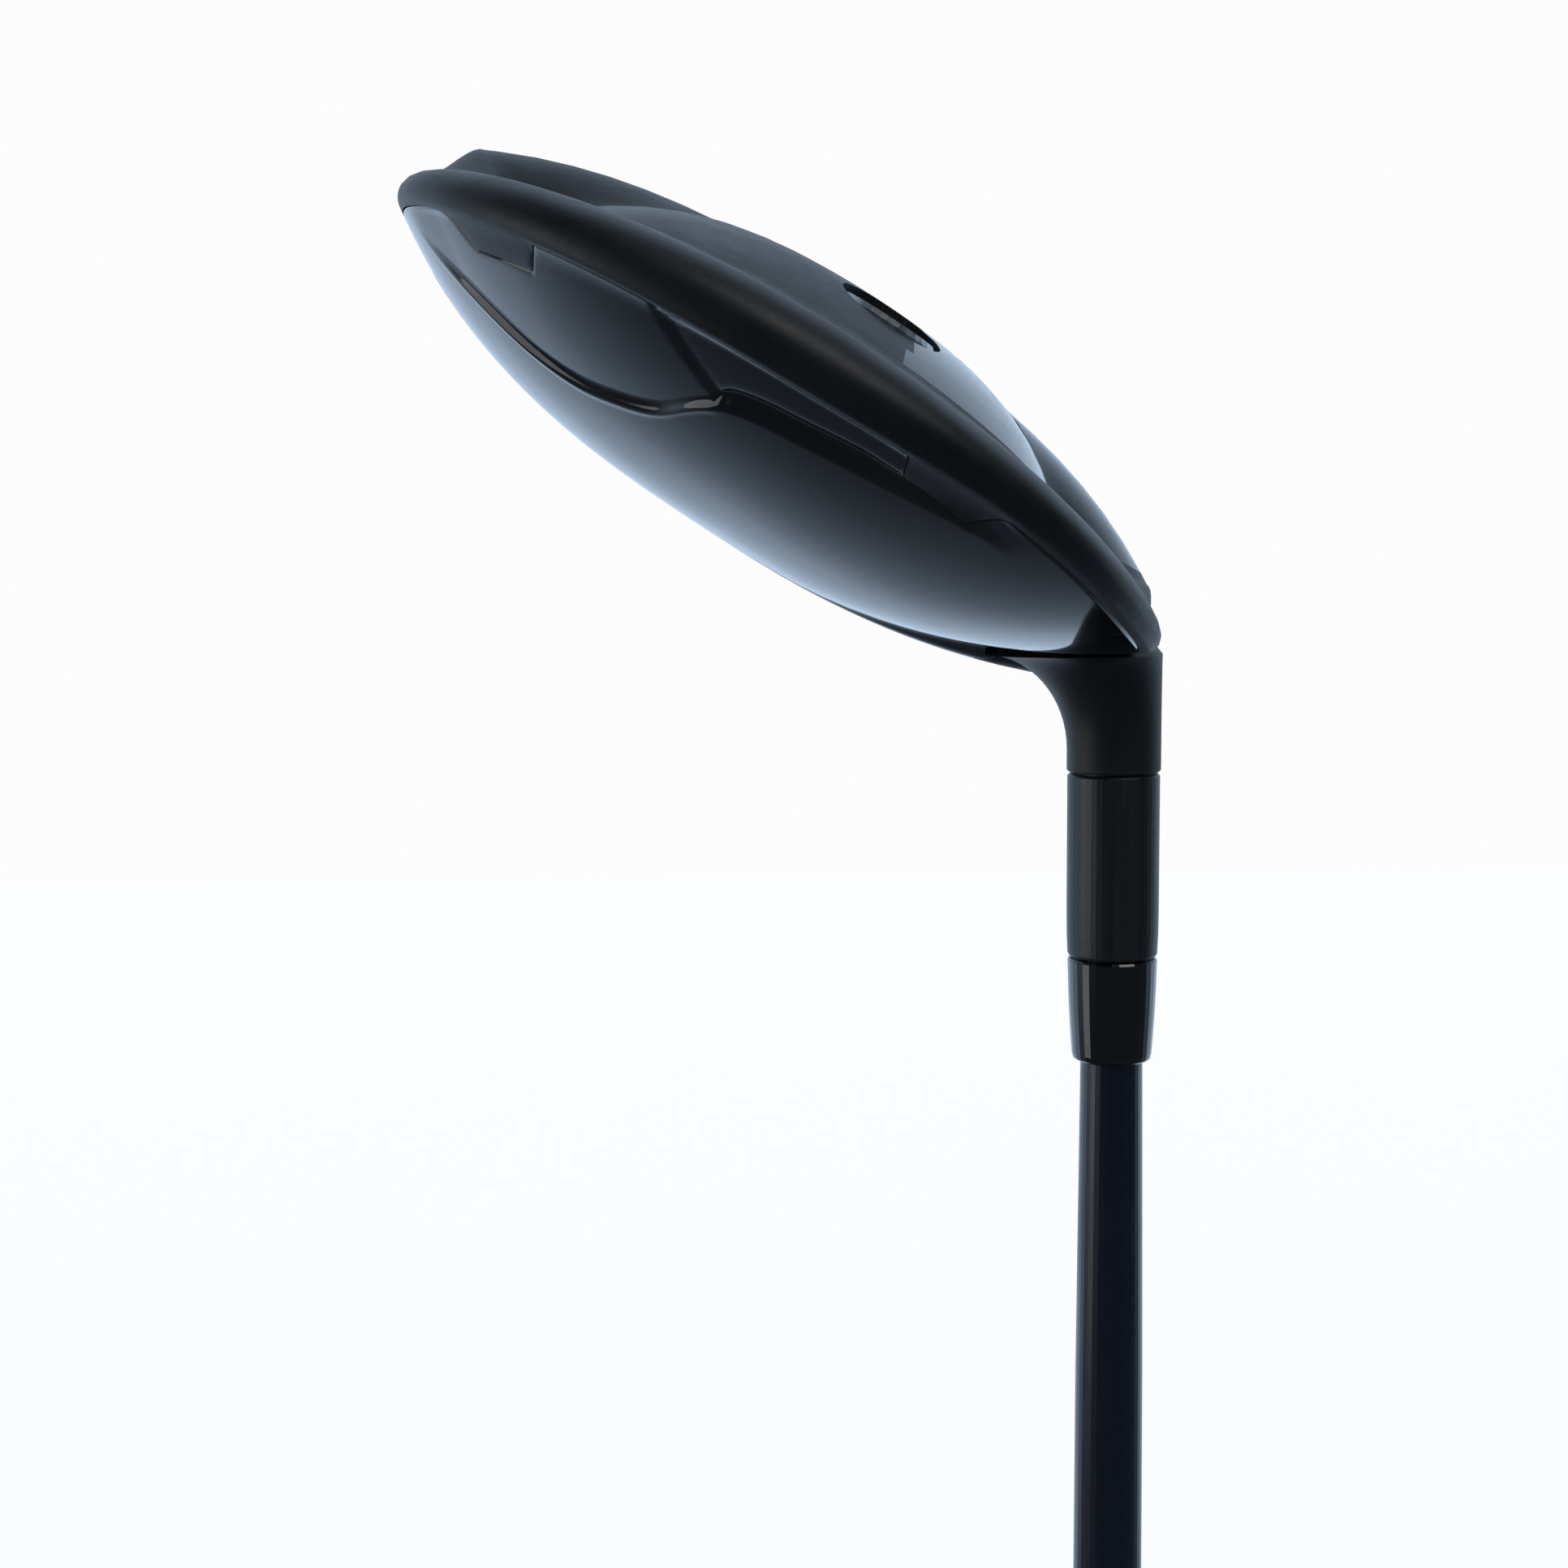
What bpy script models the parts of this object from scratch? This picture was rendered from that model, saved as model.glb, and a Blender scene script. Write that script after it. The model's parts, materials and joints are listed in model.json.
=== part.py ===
"""Fairway wood with an adjustable hosel.

Row frame: the origin is the centre of the grip's butt face, +Z runs up the shaft to the head,
+X points to the toe side, -Y is the side the face looks to. All lengths are in metres.
The head is shaped in its own address frame (t = toe, b = back, u = up from the ground), whose
origin is where the shaft axis meets the ground.
"""
import math

import bmesh
import bpy
import numpy as np
from mathutils import Matrix, Vector

MM = 0.001
GAP = 0.3 * MM                      # clearance between pieces that touch

# Club
CLUB_LENGTH = 1092.0 * MM           # butt face to the ground point on the shaft axis
LIE = math.radians(57.0)
LOFT = math.radians(15.0)

# Head plan, about the plan centre
PLAN_T = 40.0 * MM
PLAN_B = 14.0 * MM
TOE_REACH = 58.2 * MM
HEEL_REACH = 53.2 * MM
REAR_REACH = 54.0 * MM
FRONT_REACH = 30.0 * MM
REAR_ROUNDNESS = 2.15
FRONT_ROUNDNESS = 4.2

# Head heights above the ground
CROWN_TOP = 35.0 * MM
FACE_TOP = 32.5 * MM
FACE_DROP = (3.0 * MM, 6.0 * MM)    # how much lower the face top is near its toe and heel ends
FACE_SPREAD = 50.0 * MM
LEADING_EDGE = 5.0 * MM
SOLE_RISE_FRONT = 1.0 * MM
SOLE_RISE_CORNERS = (4.8 * MM, 4.6 * MM)    # extra rise of the leading edge at its toe and heel ends
SOLE_EDGE_FRONT = 0.95
SOLE_BLEND = (2.0 * MM, 26.0 * MM)  # how far back the flat front of the sole changes to the rear shape
SKIRT_TUCK = 0.9 * MM               # how far the rim sits inside the widest level
CROWN_FULLNESS = 2.15
# Rim height every 30 degrees from the toe round the rear to the heel
RIM_HEIGHT = (22.0 * MM, 20.5 * MM, 18.0 * MM, 16.8 * MM, 16.0 * MM, 17.8 * MM, 18.2 * MM)
# Each of these is given at the toe, at the rear and at the heel
SOLE_RISE = (14.0 * MM, 8.8 * MM, 12.0 * MM)
SOLE_EDGE = (0.72, 0.84, 0.64)      # where the sole turns up into the skirt, share of the plan
SKIRT_BELLY = (0.92, 0.82, 0.92)    # height of the widest level as a share of the rim height

# Crown panel seam and surface lines
SEAM_INSET = 0.8 * MM               # seam behind the rim round the rear
SEAM_INSET_FRONT = 9.0 * MM         # seam behind the face top
TAB_INSET = 4.6 * MM                # seam inset over the two body tabs
HOSEL_INSET = 12.0 * MM             # seam inset under the neck and in front of it
# Degrees round the plan centre where each tab ramps in, is flat and ramps out
TOE_TAB = (34.0, 37.0, 48.5, 50.5)
HEEL_TAB = (102.0, 104.5, 115.5, 117.5)
HOSEL_TAB = (188.0, 193.0, 208.0, 216.0)
# The crease that bounds the raised centre: degrees round the plan centre, distance inside the rim
CREASE = ((17.5, 2.5), (30.0, 10.0), (40.0, 15.5), (49.5, 17.8), (58.0, 17.4), (67.5, 15.2), (78.5, 8.8),
          (92.5, 6.6), (104.5, 5.6), (118.0, 4.0))
CREASE_WIDTH = 1.6 * MM
CREASE_DROP = 0.7 * MM

# Walls
WALL = 1.2 * MM
CROWN_WALL = 1.0 * MM
LEDGE_WIDTH = 4.0 * MM
LEDGE_WALL = 1.0 * MM
LEDGE_FALL = 0.4 * MM               # how far the ledge drops away under the panel

# Face insert
FACE_LENGTH = 78.0 * MM
FACE_HEIGHT = 27.0 * MM
FACE_CENTRE_T = 43.0 * MM
FACE_CENTRE_U = 19.0 * MM
FACE_WALL = 2.4 * MM
SCORE_COUNT = 6
SCORE_PITCH = 3.6 * MM
SCORE_WIDTH = 0.8 * MM
SCORE_DEPTH = 0.4 * MM

# Hosel and adapter, measured along the shaft from the end of the neck (+ is into the head)
NECK_END = CLUB_LENGTH - 39.0 * MM
NECK_RADIUS = 6.45 * MM
FLARE_START = 3.0 * MM
FLARE_LENGTH = 12.6 * MM
FLARE_REACH = 12.3 * MM
TUBE_RADIUS = 6.9 * MM
SLEEVE_RADIUS = 6.35 * MM
SLEEVE_TAPER = 0.15 * MM
SLEEVE_VISIBLE = 25.4 * MM
SLEEVE_INNER_RADIUS = 5.3 * MM
SLEEVE_INNER_LENGTH = 15.0 * MM
SPLINE_COUNT = 12
SPLINE_HEIGHT = 0.5 * MM
SPLINE_LENGTH = 6.0 * MM
BORE_DEPTH = 17.5 * MM
SEAT_WEB = 2.2 * MM
SCREW_PORT_RADIUS = 5.2 * MM
SCREW_RADIUS = 2.5 * MM
SCREW_HEAD_RADIUS = 4.5 * MM
SCREW_HEAD_HEIGHT = 4.4 * MM
SCREW_TIP = 9.6 * MM
INSERT_START = 8.4 * MM
INSERT_RADIUS = 3.6 * MM
WASHER_THICKNESS = 0.9 * MM
RETAINER_THICKNESS = 1.1 * MM

# Shaft
SHAFT_BUTT_RADIUS = 7.62 * MM
SHAFT_TIP_RADIUS = 4.3 * MM
SHAFT_MID_RADIUS = 4.72 * MM        # one tip length above the ferrule
SHAFT_TIP_LENGTH = 45.0 * MM
SHAFT_BUTT_PARALLEL = 180.0 * MM
SHAFT_START = 3.2 * MM
SHAFT_INSERTION = 4.5 * MM          # shaft end inside the neck
SHAFT_WALL_BUTT = 1.0 * MM
SHAFT_WALL_TIP = 2.3 * MM
PLUG_HEAD = 1.3 * MM
PLUG_LENGTH = 16.0 * MM
FERRULE_LENGTH = 14.4 * MM
FERRULE_RADIUS = 6.2 * MM
FERRULE_END_RADIUS = 5.55 * MM

# Grip
GRIP_LENGTH = 268.0 * MM
GRIP_BUTT_RADIUS = 13.2 * MM
GRIP_MOUTH_RADIUS = 8.9 * MM
GRIP_CAP = 2.9 * MM
VENT_RADIUS = 1.5 * MM
TAPE_THICKNESS = 0.3 * MM
TAPE_LENGTH = 255.0 * MM

# Sole plate
PLATE_T = 38.0 * MM
PLATE_B = 23.0 * MM
PLATE_HALF_T = 24.0 * MM
PLATE_HALF_B = 12.0 * MM
PLATE_WALL = 1.0 * MM
PAD_HEIGHT = 3.9 * MM

# Sole weights: (toe, back) position of the weight's axis, body radius
REAR_WEIGHT = (38.0 * MM, 44.0 * MM)
FRONT_WEIGHT = (42.0 * MM, -1.0 * MM)
WEIGHT_RADIUS = 6.5 * MM
WEIGHT_HEAD = 2.6 * MM
WEIGHT_STEM_RADIUS = 4.0 * MM
WEIGHT_STEM = 4.5 * MM
WEIGHT_RECESS = 0.5 * MM
SEAL_THICKNESS = 0.6 * MM
BOSS_WALL = 1.6 * MM

ROUND = 36                          # facets round a turned hosel or shaft piece
HEAD_COLUMNS = 60


# ---------------------------------------------------------------- helpers
def clear_scene():
    for ob in list(bpy.data.objects):
        bpy.data.objects.remove(ob, do_unlink=True)


def material(name, color, rough=0.5, metal=0.0):
    mat = bpy.data.materials.new(name)
    mat.use_nodes = True
    shader = mat.node_tree.nodes["Principled BSDF"]
    shader.inputs["Base Color"].default_value = (*color, 1.0)
    shader.inputs["Roughness"].default_value = rough
    shader.inputs["Metallic"].default_value = metal
    return mat


def to_row(points):
    """Address frame (t, b, u) to the row frame (x, y, z)."""
    p = np.asarray(points, float)
    t, b, u = p[..., 0], p[..., 1], p[..., 2]
    x = t * math.sin(LIE) + u * math.cos(LIE)
    z = CLUB_LENGTH + t * math.cos(LIE) - u * math.sin(LIE)
    return np.stack([x, b, z], -1)


def address_matrix(t, b, u, tilt=0.0):
    """Placement whose local Z points down out of the sole, tilted about the toe axis."""
    up = to_row((0, 0, 1)) - to_row((0, 0, 0))
    toe = to_row((1, 0, 0)) - to_row((0, 0, 0))
    down = -up * math.cos(tilt) + np.array((0, 1, 0)) * math.sin(tilt)
    side = np.cross(down, toe)
    rows = np.stack([toe, side, down], 1)
    mat = Matrix.Identity(4)
    for i in range(3):
        for j in range(3):
            mat[i][j] = rows[i][j]
    mat.translation = Vector(to_row((t, b, u)))
    return mat


def new_object(name, mesh, mat=None):
    ob = bpy.data.objects.new(name, mesh)
    bpy.context.scene.collection.objects.link(ob)
    if mat:
        mesh.materials.append(mat)
    return ob


def mesh_from_rings(name, rings, mat=None, closed=False):
    """Skin a stack of equal rings. A ring of one point closes that end as a fan."""
    bm = bmesh.new()
    loops = [[bm.verts.new(tuple(p)) for p in ring] for ring in rings]
    pairs = list(zip(loops[:-1], loops[1:]))
    if closed:
        pairs.append((loops[-1], loops[0]))
    for low, high in pairs:
        count = max(len(low), len(high))
        for i in range(count):
            j = (i + 1) % count
            if len(low) == 1:
                bm.faces.new((low[0], high[j], high[i]))
            elif len(high) == 1:
                bm.faces.new((low[i], low[j], high[0]))
            else:
                bm.faces.new((low[i], low[j], high[j], high[i]))
    bmesh.ops.recalc_face_normals(bm, faces=bm.faces)
    if bm.calc_volume(signed=True) < 0:
        bmesh.ops.reverse_faces(bm, faces=bm.faces)
    mesh = bpy.data.meshes.new(name)
    bm.to_mesh(mesh)
    bm.free()
    return new_object(name, mesh, mat)


def circle(radius, z, count=ROUND, shift=0.0):
    if radius <= 0:
        return [(shift, 0.0, z)]
    angles = [2 * math.pi * i / count for i in range(count)]
    return [(shift + radius * math.cos(a), radius * math.sin(a), z) for a in angles]


def turned(name, profile, mat=None, count=ROUND, closed=False):
    """Turn a profile of (radius, z) about the Z axis."""
    return mesh_from_rings(name, [circle(r, z, count) for r, z in profile], mat, closed)


def boolean(target, cutter, operation="DIFFERENCE", keep=False):
    mod = target.modifiers.new(operation.title(), "BOOLEAN")
    mod.operation = operation
    mod.solver = "EXACT"
    mod.object = cutter
    bpy.context.view_layer.update()
    graph = bpy.context.evaluated_depsgraph_get()
    mesh = bpy.data.meshes.new_from_object(target.evaluated_get(graph))
    old = target.data
    target.modifiers.remove(mod)
    target.data = mesh
    mesh.name = target.name
    bpy.data.meshes.remove(old)
    if not keep:
        bpy.data.objects.remove(cutter, do_unlink=True)
    return target


def weld(ob, distance=0.00006):
    bm = bmesh.new()
    bm.from_mesh(ob.data)
    bmesh.ops.remove_doubles(bm, verts=bm.verts, dist=distance)
    bmesh.ops.dissolve_degenerate(bm, edges=bm.edges, dist=0.000005)
    bmesh.ops.dissolve_verts(bm, verts=[v for v in bm.verts if len(v.link_edges) == 2])
    bmesh.ops.triangulate(bm, faces=[f for f in bm.faces if len(f.verts) > 4], ngon_method="BEAUTY")
    bm.to_mesh(ob.data)
    bm.free()


def smooth(ob, angle=35.0):
    ob.data.shade_smooth()
    ob.data.set_sharp_from_angle(angle=math.radians(angle))


def ease(x):
    x = np.clip(x, 0.0, 1.0)
    return x * x * (3 - 2 * x)


# ---------------------------------------------------------------- head surfaces
def head_angles():
    """Columns round the plan centre: even ones plus those on the tab ends."""
    even = list(np.arange(HEAD_COLUMNS) * 360.0 / HEAD_COLUMNS)
    exact = list(TOE_TAB) + list(HEEL_TAB) + list(HOSEL_TAB)
    kept = [a for a in even if min(abs(a - e) for e in exact) > 1.1]
    return np.radians(np.array(sorted(kept + exact)))


def plan_radius(a):
    c, s = np.cos(a), np.sin(a)
    side = np.where(c > 0, TOE_REACH, HEEL_REACH)
    depth = np.where(s > 0, REAR_REACH, FRONT_REACH)
    n = np.where(s > 0, REAR_ROUNDNESS, FRONT_ROUNDNESS)
    return (np.abs(c / side) ** n + np.abs(s / depth) ** n) ** (-1.0 / n)


def plan_point(a, share=1.0):
    r = plan_radius(a) * share
    return PLAN_T + r * np.cos(a), PLAN_B + r * np.sin(a)


def face_share(a):
    """1 along the face, 0 round the rear."""
    b = plan_point(a)[1]
    return ease((1.0 * MM - b) / (12.0 * MM))


def by_side(a, values):
    toe, rear, heel = values
    c = np.cos(a)
    return rear + np.where(c > 0, toe - rear, heel - rear) * c * c


def by_station(a, values):
    """Values at even stations from the toe round the rear to the heel, eased between."""
    turn = np.abs((np.degrees(a) + 90) % 360 - 90)
    turn = np.where(turn > 180, 180.0, np.where(np.degrees(a) > 270, 0.0, turn))
    place_in = turn / 180 * (len(values) - 1)
    low = np.clip(np.floor(place_in).astype(int), 0, len(values) - 2)
    v = np.array((values[0],) + tuple(values) + (values[-1],))
    p0, p1, p2, p3 = v[low], v[low + 1], v[low + 2], v[low + 3]
    x = place_in - low
    return p1 + 0.5 * x * (p2 - p0 + x * (2 * p0 - 5 * p1 + 4 * p2 - p3 + x * (3 * (p1 - p2) + p3 - p0)))


def rim_height(a):
    t = plan_point(a)[0]
    across = (t - FACE_CENTRE_T) / FACE_SPREAD
    front = FACE_TOP - np.where(across > 0, FACE_DROP[0], FACE_DROP[1]) * across ** 2
    f = face_share(a)
    return by_station(a, RIM_HEIGHT) * (1 - f) + front * f


def outer_point(a, share, u, wall=0.0):
    """A point on a level u at a share of the plan radius, leaning back with the loft in front."""
    t, b = plan_point(a, share * (1 - wall / plan_radius(a)))
    lean = np.maximum(u - LEADING_EDGE, 0.0) * math.tan(LOFT) * face_share(a)
    return np.stack([t, b + lean, u + 0 * t], -1)


def skirt_grid(a, wall=0.0):
    """Rings from the sole centre to the rim, or the same rings a wall's thickness inside."""
    f = face_share(a)
    across = (plan_point(a)[0] - FACE_CENTRE_T) / FACE_SPREAD
    corner = np.where(across > 0, SOLE_RISE_CORNERS[0], SOLE_RISE_CORNERS[1])
    front_rise = SOLE_RISE_FRONT + corner * np.abs(across) ** 5
    g = ease((SOLE_BLEND[1] - plan_point(a)[1]) / (SOLE_BLEND[1] - SOLE_BLEND[0]))
    rise = by_side(a, SOLE_RISE) * (1 - g) + front_rise * g + wall
    edge = by_side(a, SOLE_EDGE) * (1 - g) + SOLE_EDGE_FRONT * g
    rim = rim_height(a) + 0 * wall
    belly = rim * by_side(a, SKIRT_BELLY) * (1 - f) + (LEADING_EDGE + front_rise + wall) * f
    tuck = SKIRT_TUCK / plan_radius(a) * (1 - f)
    rings = []
    for share in (0.0, 0.3, 0.55, 0.75, 0.9):
        rings.append(outer_point(a, edge * share, (rise - wall) * share ** 3 + wall, wall))
    for k in range(5):
        turn = k * math.pi / 8
        share = edge + (1 - edge) * math.sin(turn)
        rings.append(outer_point(a, share, rise + (belly - rise) * (1 - math.cos(turn)), wall))
    for k in range(1, 5):
        turn = k * math.pi / 12
        share = 1 - tuck * (1 - math.cos(turn)) * 2
        level = belly + (rim - belly) * math.sin(turn) / math.sin(math.pi / 3)
        rings.append(outer_point(a, share, level, wall))
    return np.stack(rings)


def seam_inset(a):
    deg = np.degrees(a)
    inset = SEAM_INSET + (SEAM_INSET_FRONT - SEAM_INSET) * face_share(a)
    for tab in (TOE_TAB, HEEL_TAB):
        inset = inset + np.interp(deg, tab, (0, 1, 1, 0)) * (TAB_INSET - SEAM_INSET)
    hosel = np.interp(deg, HOSEL_TAB, (0, 1, 1, 0))
    return inset * (1 - hosel) + HOSEL_INSET * hosel


def crease_inset(a):
    """Distance of the crease inside the rim, and how strong it is there."""
    deg = np.degrees(a)
    angles = [c[0] for c in CREASE]
    inset = np.interp(deg, angles, [c[1] * MM for c in CREASE])
    strength = ease((deg - angles[0]) / 12) * ease((angles[-1] + 6 - deg) / 10)
    return inset, strength


def crown_point(a, inset, detail=True):
    """A point of the crown, a given distance inside the rim along its radius."""
    rim = skirt_grid(a)[-1]
    centre = np.array((PLAN_T, PLAN_B, CROWN_TOP))
    span = np.hypot(rim[:, 0] - PLAN_T, rim[:, 1] - PLAN_B)
    share = np.clip(1 - inset / span, 0.0, 1.0)[:, None]
    p = centre + (rim - centre) * share
    p[:, 2] = CROWN_TOP - (CROWN_TOP - rim[:, 2]) * share[:, 0] ** CROWN_FULLNESS
    if detail:
        crease, strength = crease_inset(a)
        beyond = (crease - inset) / CREASE_WIDTH + 0.5
        p[:, 2] -= CREASE_DROP * strength * ease(beyond) * ease(inset / (2 * MM))
    return p


def crown_grid(a, insets):
    return np.stack([crown_point(a, inset) for inset in insets])


def rings_to_row(rings):
    return [to_row(r) if len(r) > 1 else to_row(r[:1]) for r in rings]


def pole(ring):
    return ring.mean(0)[None, :]


# ---------------------------------------------------------------- head solids
def outer_volume(a, name="outer_volume", inside=0.0):
    """The whole head as one closed volume, used to trim pieces to the outside."""
    skirt = skirt_grid(a, inside)
    crown = crown_grid(a, [1.5 * inside + 0.6 * MM, 3 * MM, 8 * MM, 16 * MM, 30 * MM])
    crown[..., 2] -= inside
    rings = [pole(skirt[0])] + list(skirt[1:-1]) + list(crown)
    rings.append(np.array([(PLAN_T, PLAN_B, CROWN_TOP - inside)]))
    return mesh_from_rings(name, rings_to_row(rings))


def body_shell(a, mat):
    """Cast shell with an open top and a ledge that carries the crown panel."""
    seam = seam_inset(a)
    skirt = skirt_grid(a)
    drop = np.array((0, 0, CROWN_WALL + GAP))
    margin = crown_grid(a, [0.4 * seam, seam])
    ledge = crown_point(a, seam + LEDGE_WIDTH) - drop - np.array((0, 0, LEDGE_FALL))
    inside = skirt_grid(a, WALL)
    top = rim_height(a) - drop[2] - LEDGE_FALL - LEDGE_WALL
    for k in range(6, 12):
        inside[k][:, 2] = np.minimum(inside[k][:, 2], top - (12 - k) * 0.1 * MM)
    rings = [pole(skirt[0])] + list(skirt[1:]) + list(margin)
    rings += [margin[1] - drop, ledge, ledge - np.array((0, 0, LEDGE_WALL))]
    rings += [inside[k] for k in range(len(inside) - 3, 0, -1)]
    rings.append(pole(inside[0]))
    return mesh_from_rings("head_body", rings_to_row(rings), mat)


def crown_shell(a, mat):
    edge = seam_inset(a) + GAP
    ledge = seam_inset(a) + LEDGE_WIDTH
    crease = crease_inset(a)[0]
    stations = [edge, edge + 0.5 * MM]
    for inset, apart in ((crease - CREASE_WIDTH / 2, 0.5), (crease + CREASE_WIDTH / 2, 0.5),
                         (seam_inset(a) + 2 * LEDGE_WIDTH, 1.0), (20 * MM, 1.0), (30 * MM, 1.0), (42 * MM, 1.0)):
        stations.append(np.maximum(inset, stations[-1] + apart * MM))
    stations = [np.sort(column) for column in np.array(stations + [ledge]).T]
    stations = list(np.array(stations).T)
    top = crown_grid(a, stations)
    top[0][:, 2] -= 0.15 * MM
    under = crown_grid(a, [edge] + stations[2:]) - np.array((0, 0, CROWN_WALL))
    rings = [np.array([(PLAN_T, PLAN_B, CROWN_TOP)])] + list(top[::-1]) + list(under)
    rings.append(np.array([(PLAN_T, PLAN_B, CROWN_TOP - CROWN_WALL)]))
    return mesh_from_rings("crown_panel", rings_to_row(rings), mat)


def flare(name, extra=0.0):
    """The neck and its flare: straight on the heel side, swept out to the toe side."""
    rings = [[(0.0, 0.0, NECK_END - extra)], circle(NECK_RADIUS + extra, NECK_END - extra)]
    for k in range(9):
        turn = k * math.pi / 16
        shift = FLARE_REACH * (1 - math.cos(turn)) / 2
        z = NECK_END + FLARE_START + FLARE_LENGTH * math.sin(turn)
        rings.append(circle(NECK_RADIUS + extra + shift, z, shift=shift))
    rings.append(circle(NECK_RADIUS - 1 * MM, z + 5 * MM, shift=shift / 2))
    rings.append([(shift / 2, 0.0, z + 5 * MM)])
    return mesh_from_rings(name, rings)


def spline_ring(root, tip, z):
    """A toothed ring, four points a tooth."""
    points = []
    for i in range(SPLINE_COUNT):
        for share, radius in ((0.0, root), (0.42, root), (0.5, tip), (0.92, tip)):
            angle = 2 * math.pi * (i + share) / SPLINE_COUNT
            points.append((radius * math.cos(angle), radius * math.sin(angle), z))
    return points


def prism(name, half_length, half_height, depth, power=3.2, count=40):
    """A rounded slab along local Z, centred on the origin."""
    rings = []
    for z in (-depth, depth):
        ring = []
        for i in range(count):
            angle = 2 * math.pi * i / count
            c, s = math.cos(angle), math.sin(angle)
            r = (abs(c / half_length) ** power + abs(s / half_height) ** power) ** (-1 / power)
            ring.append((r * c, r * s, z))
        rings.append(ring)
    rings = [[(0, 0, -depth)]] + rings + [[(0, 0, depth)]]
    return mesh_from_rings(name, rings)


def face_matrix():
    """Local X along the toe, local Z straight out of the face."""
    toe = to_row((1, 0, 0)) - to_row((0, 0, 0))
    out = to_row((0, -math.cos(LOFT), math.sin(LOFT))) - to_row((0, 0, 0))
    up = np.cross(out, toe)
    mat = Matrix.Identity(4)
    for j, axis in enumerate((toe, up, out)):
        for i in range(3):
            mat[i][j] = axis[i]
    lean = (FACE_CENTRE_U - LEADING_EDGE) * math.tan(LOFT)
    mat.translation = Vector(to_row((FACE_CENTRE_T, PLAN_B - FRONT_REACH + lean, FACE_CENTRE_U)))
    return mat


def weight_matrix(place, tilt):
    """Placement on the sole under a plan position, Z pointing out of the sole."""
    t, b = place
    a = np.array([math.atan2(b - PLAN_B, t - PLAN_T)])
    share = math.hypot(t - PLAN_T, b - PLAN_B) / plan_radius(a)[0]
    grid = skirt_grid(a)
    reach = np.hypot(grid[:, 0, 0] - PLAN_T, grid[:, 0, 1] - PLAN_B) / plan_radius(a)[0]
    sole = grid[:9]
    u = float(np.interp(share, reach[:9], sole[:, 0, 2]))
    return address_matrix(t, b, u, tilt)


def place(ob, matrix):
    ob.matrix_world = matrix
    bpy.context.view_layer.update()
    return ob


def lifted_volume(a, lift):
    """The head's volume moved up off the ground, to leave a skin of that thickness."""
    volume = outer_volume(a, "lifted")
    volume.matrix_world = Matrix.Translation(Vector(to_row((0, 0, lift)) - to_row((0, 0, 0))))
    bpy.context.view_layer.update()
    return volume


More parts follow.
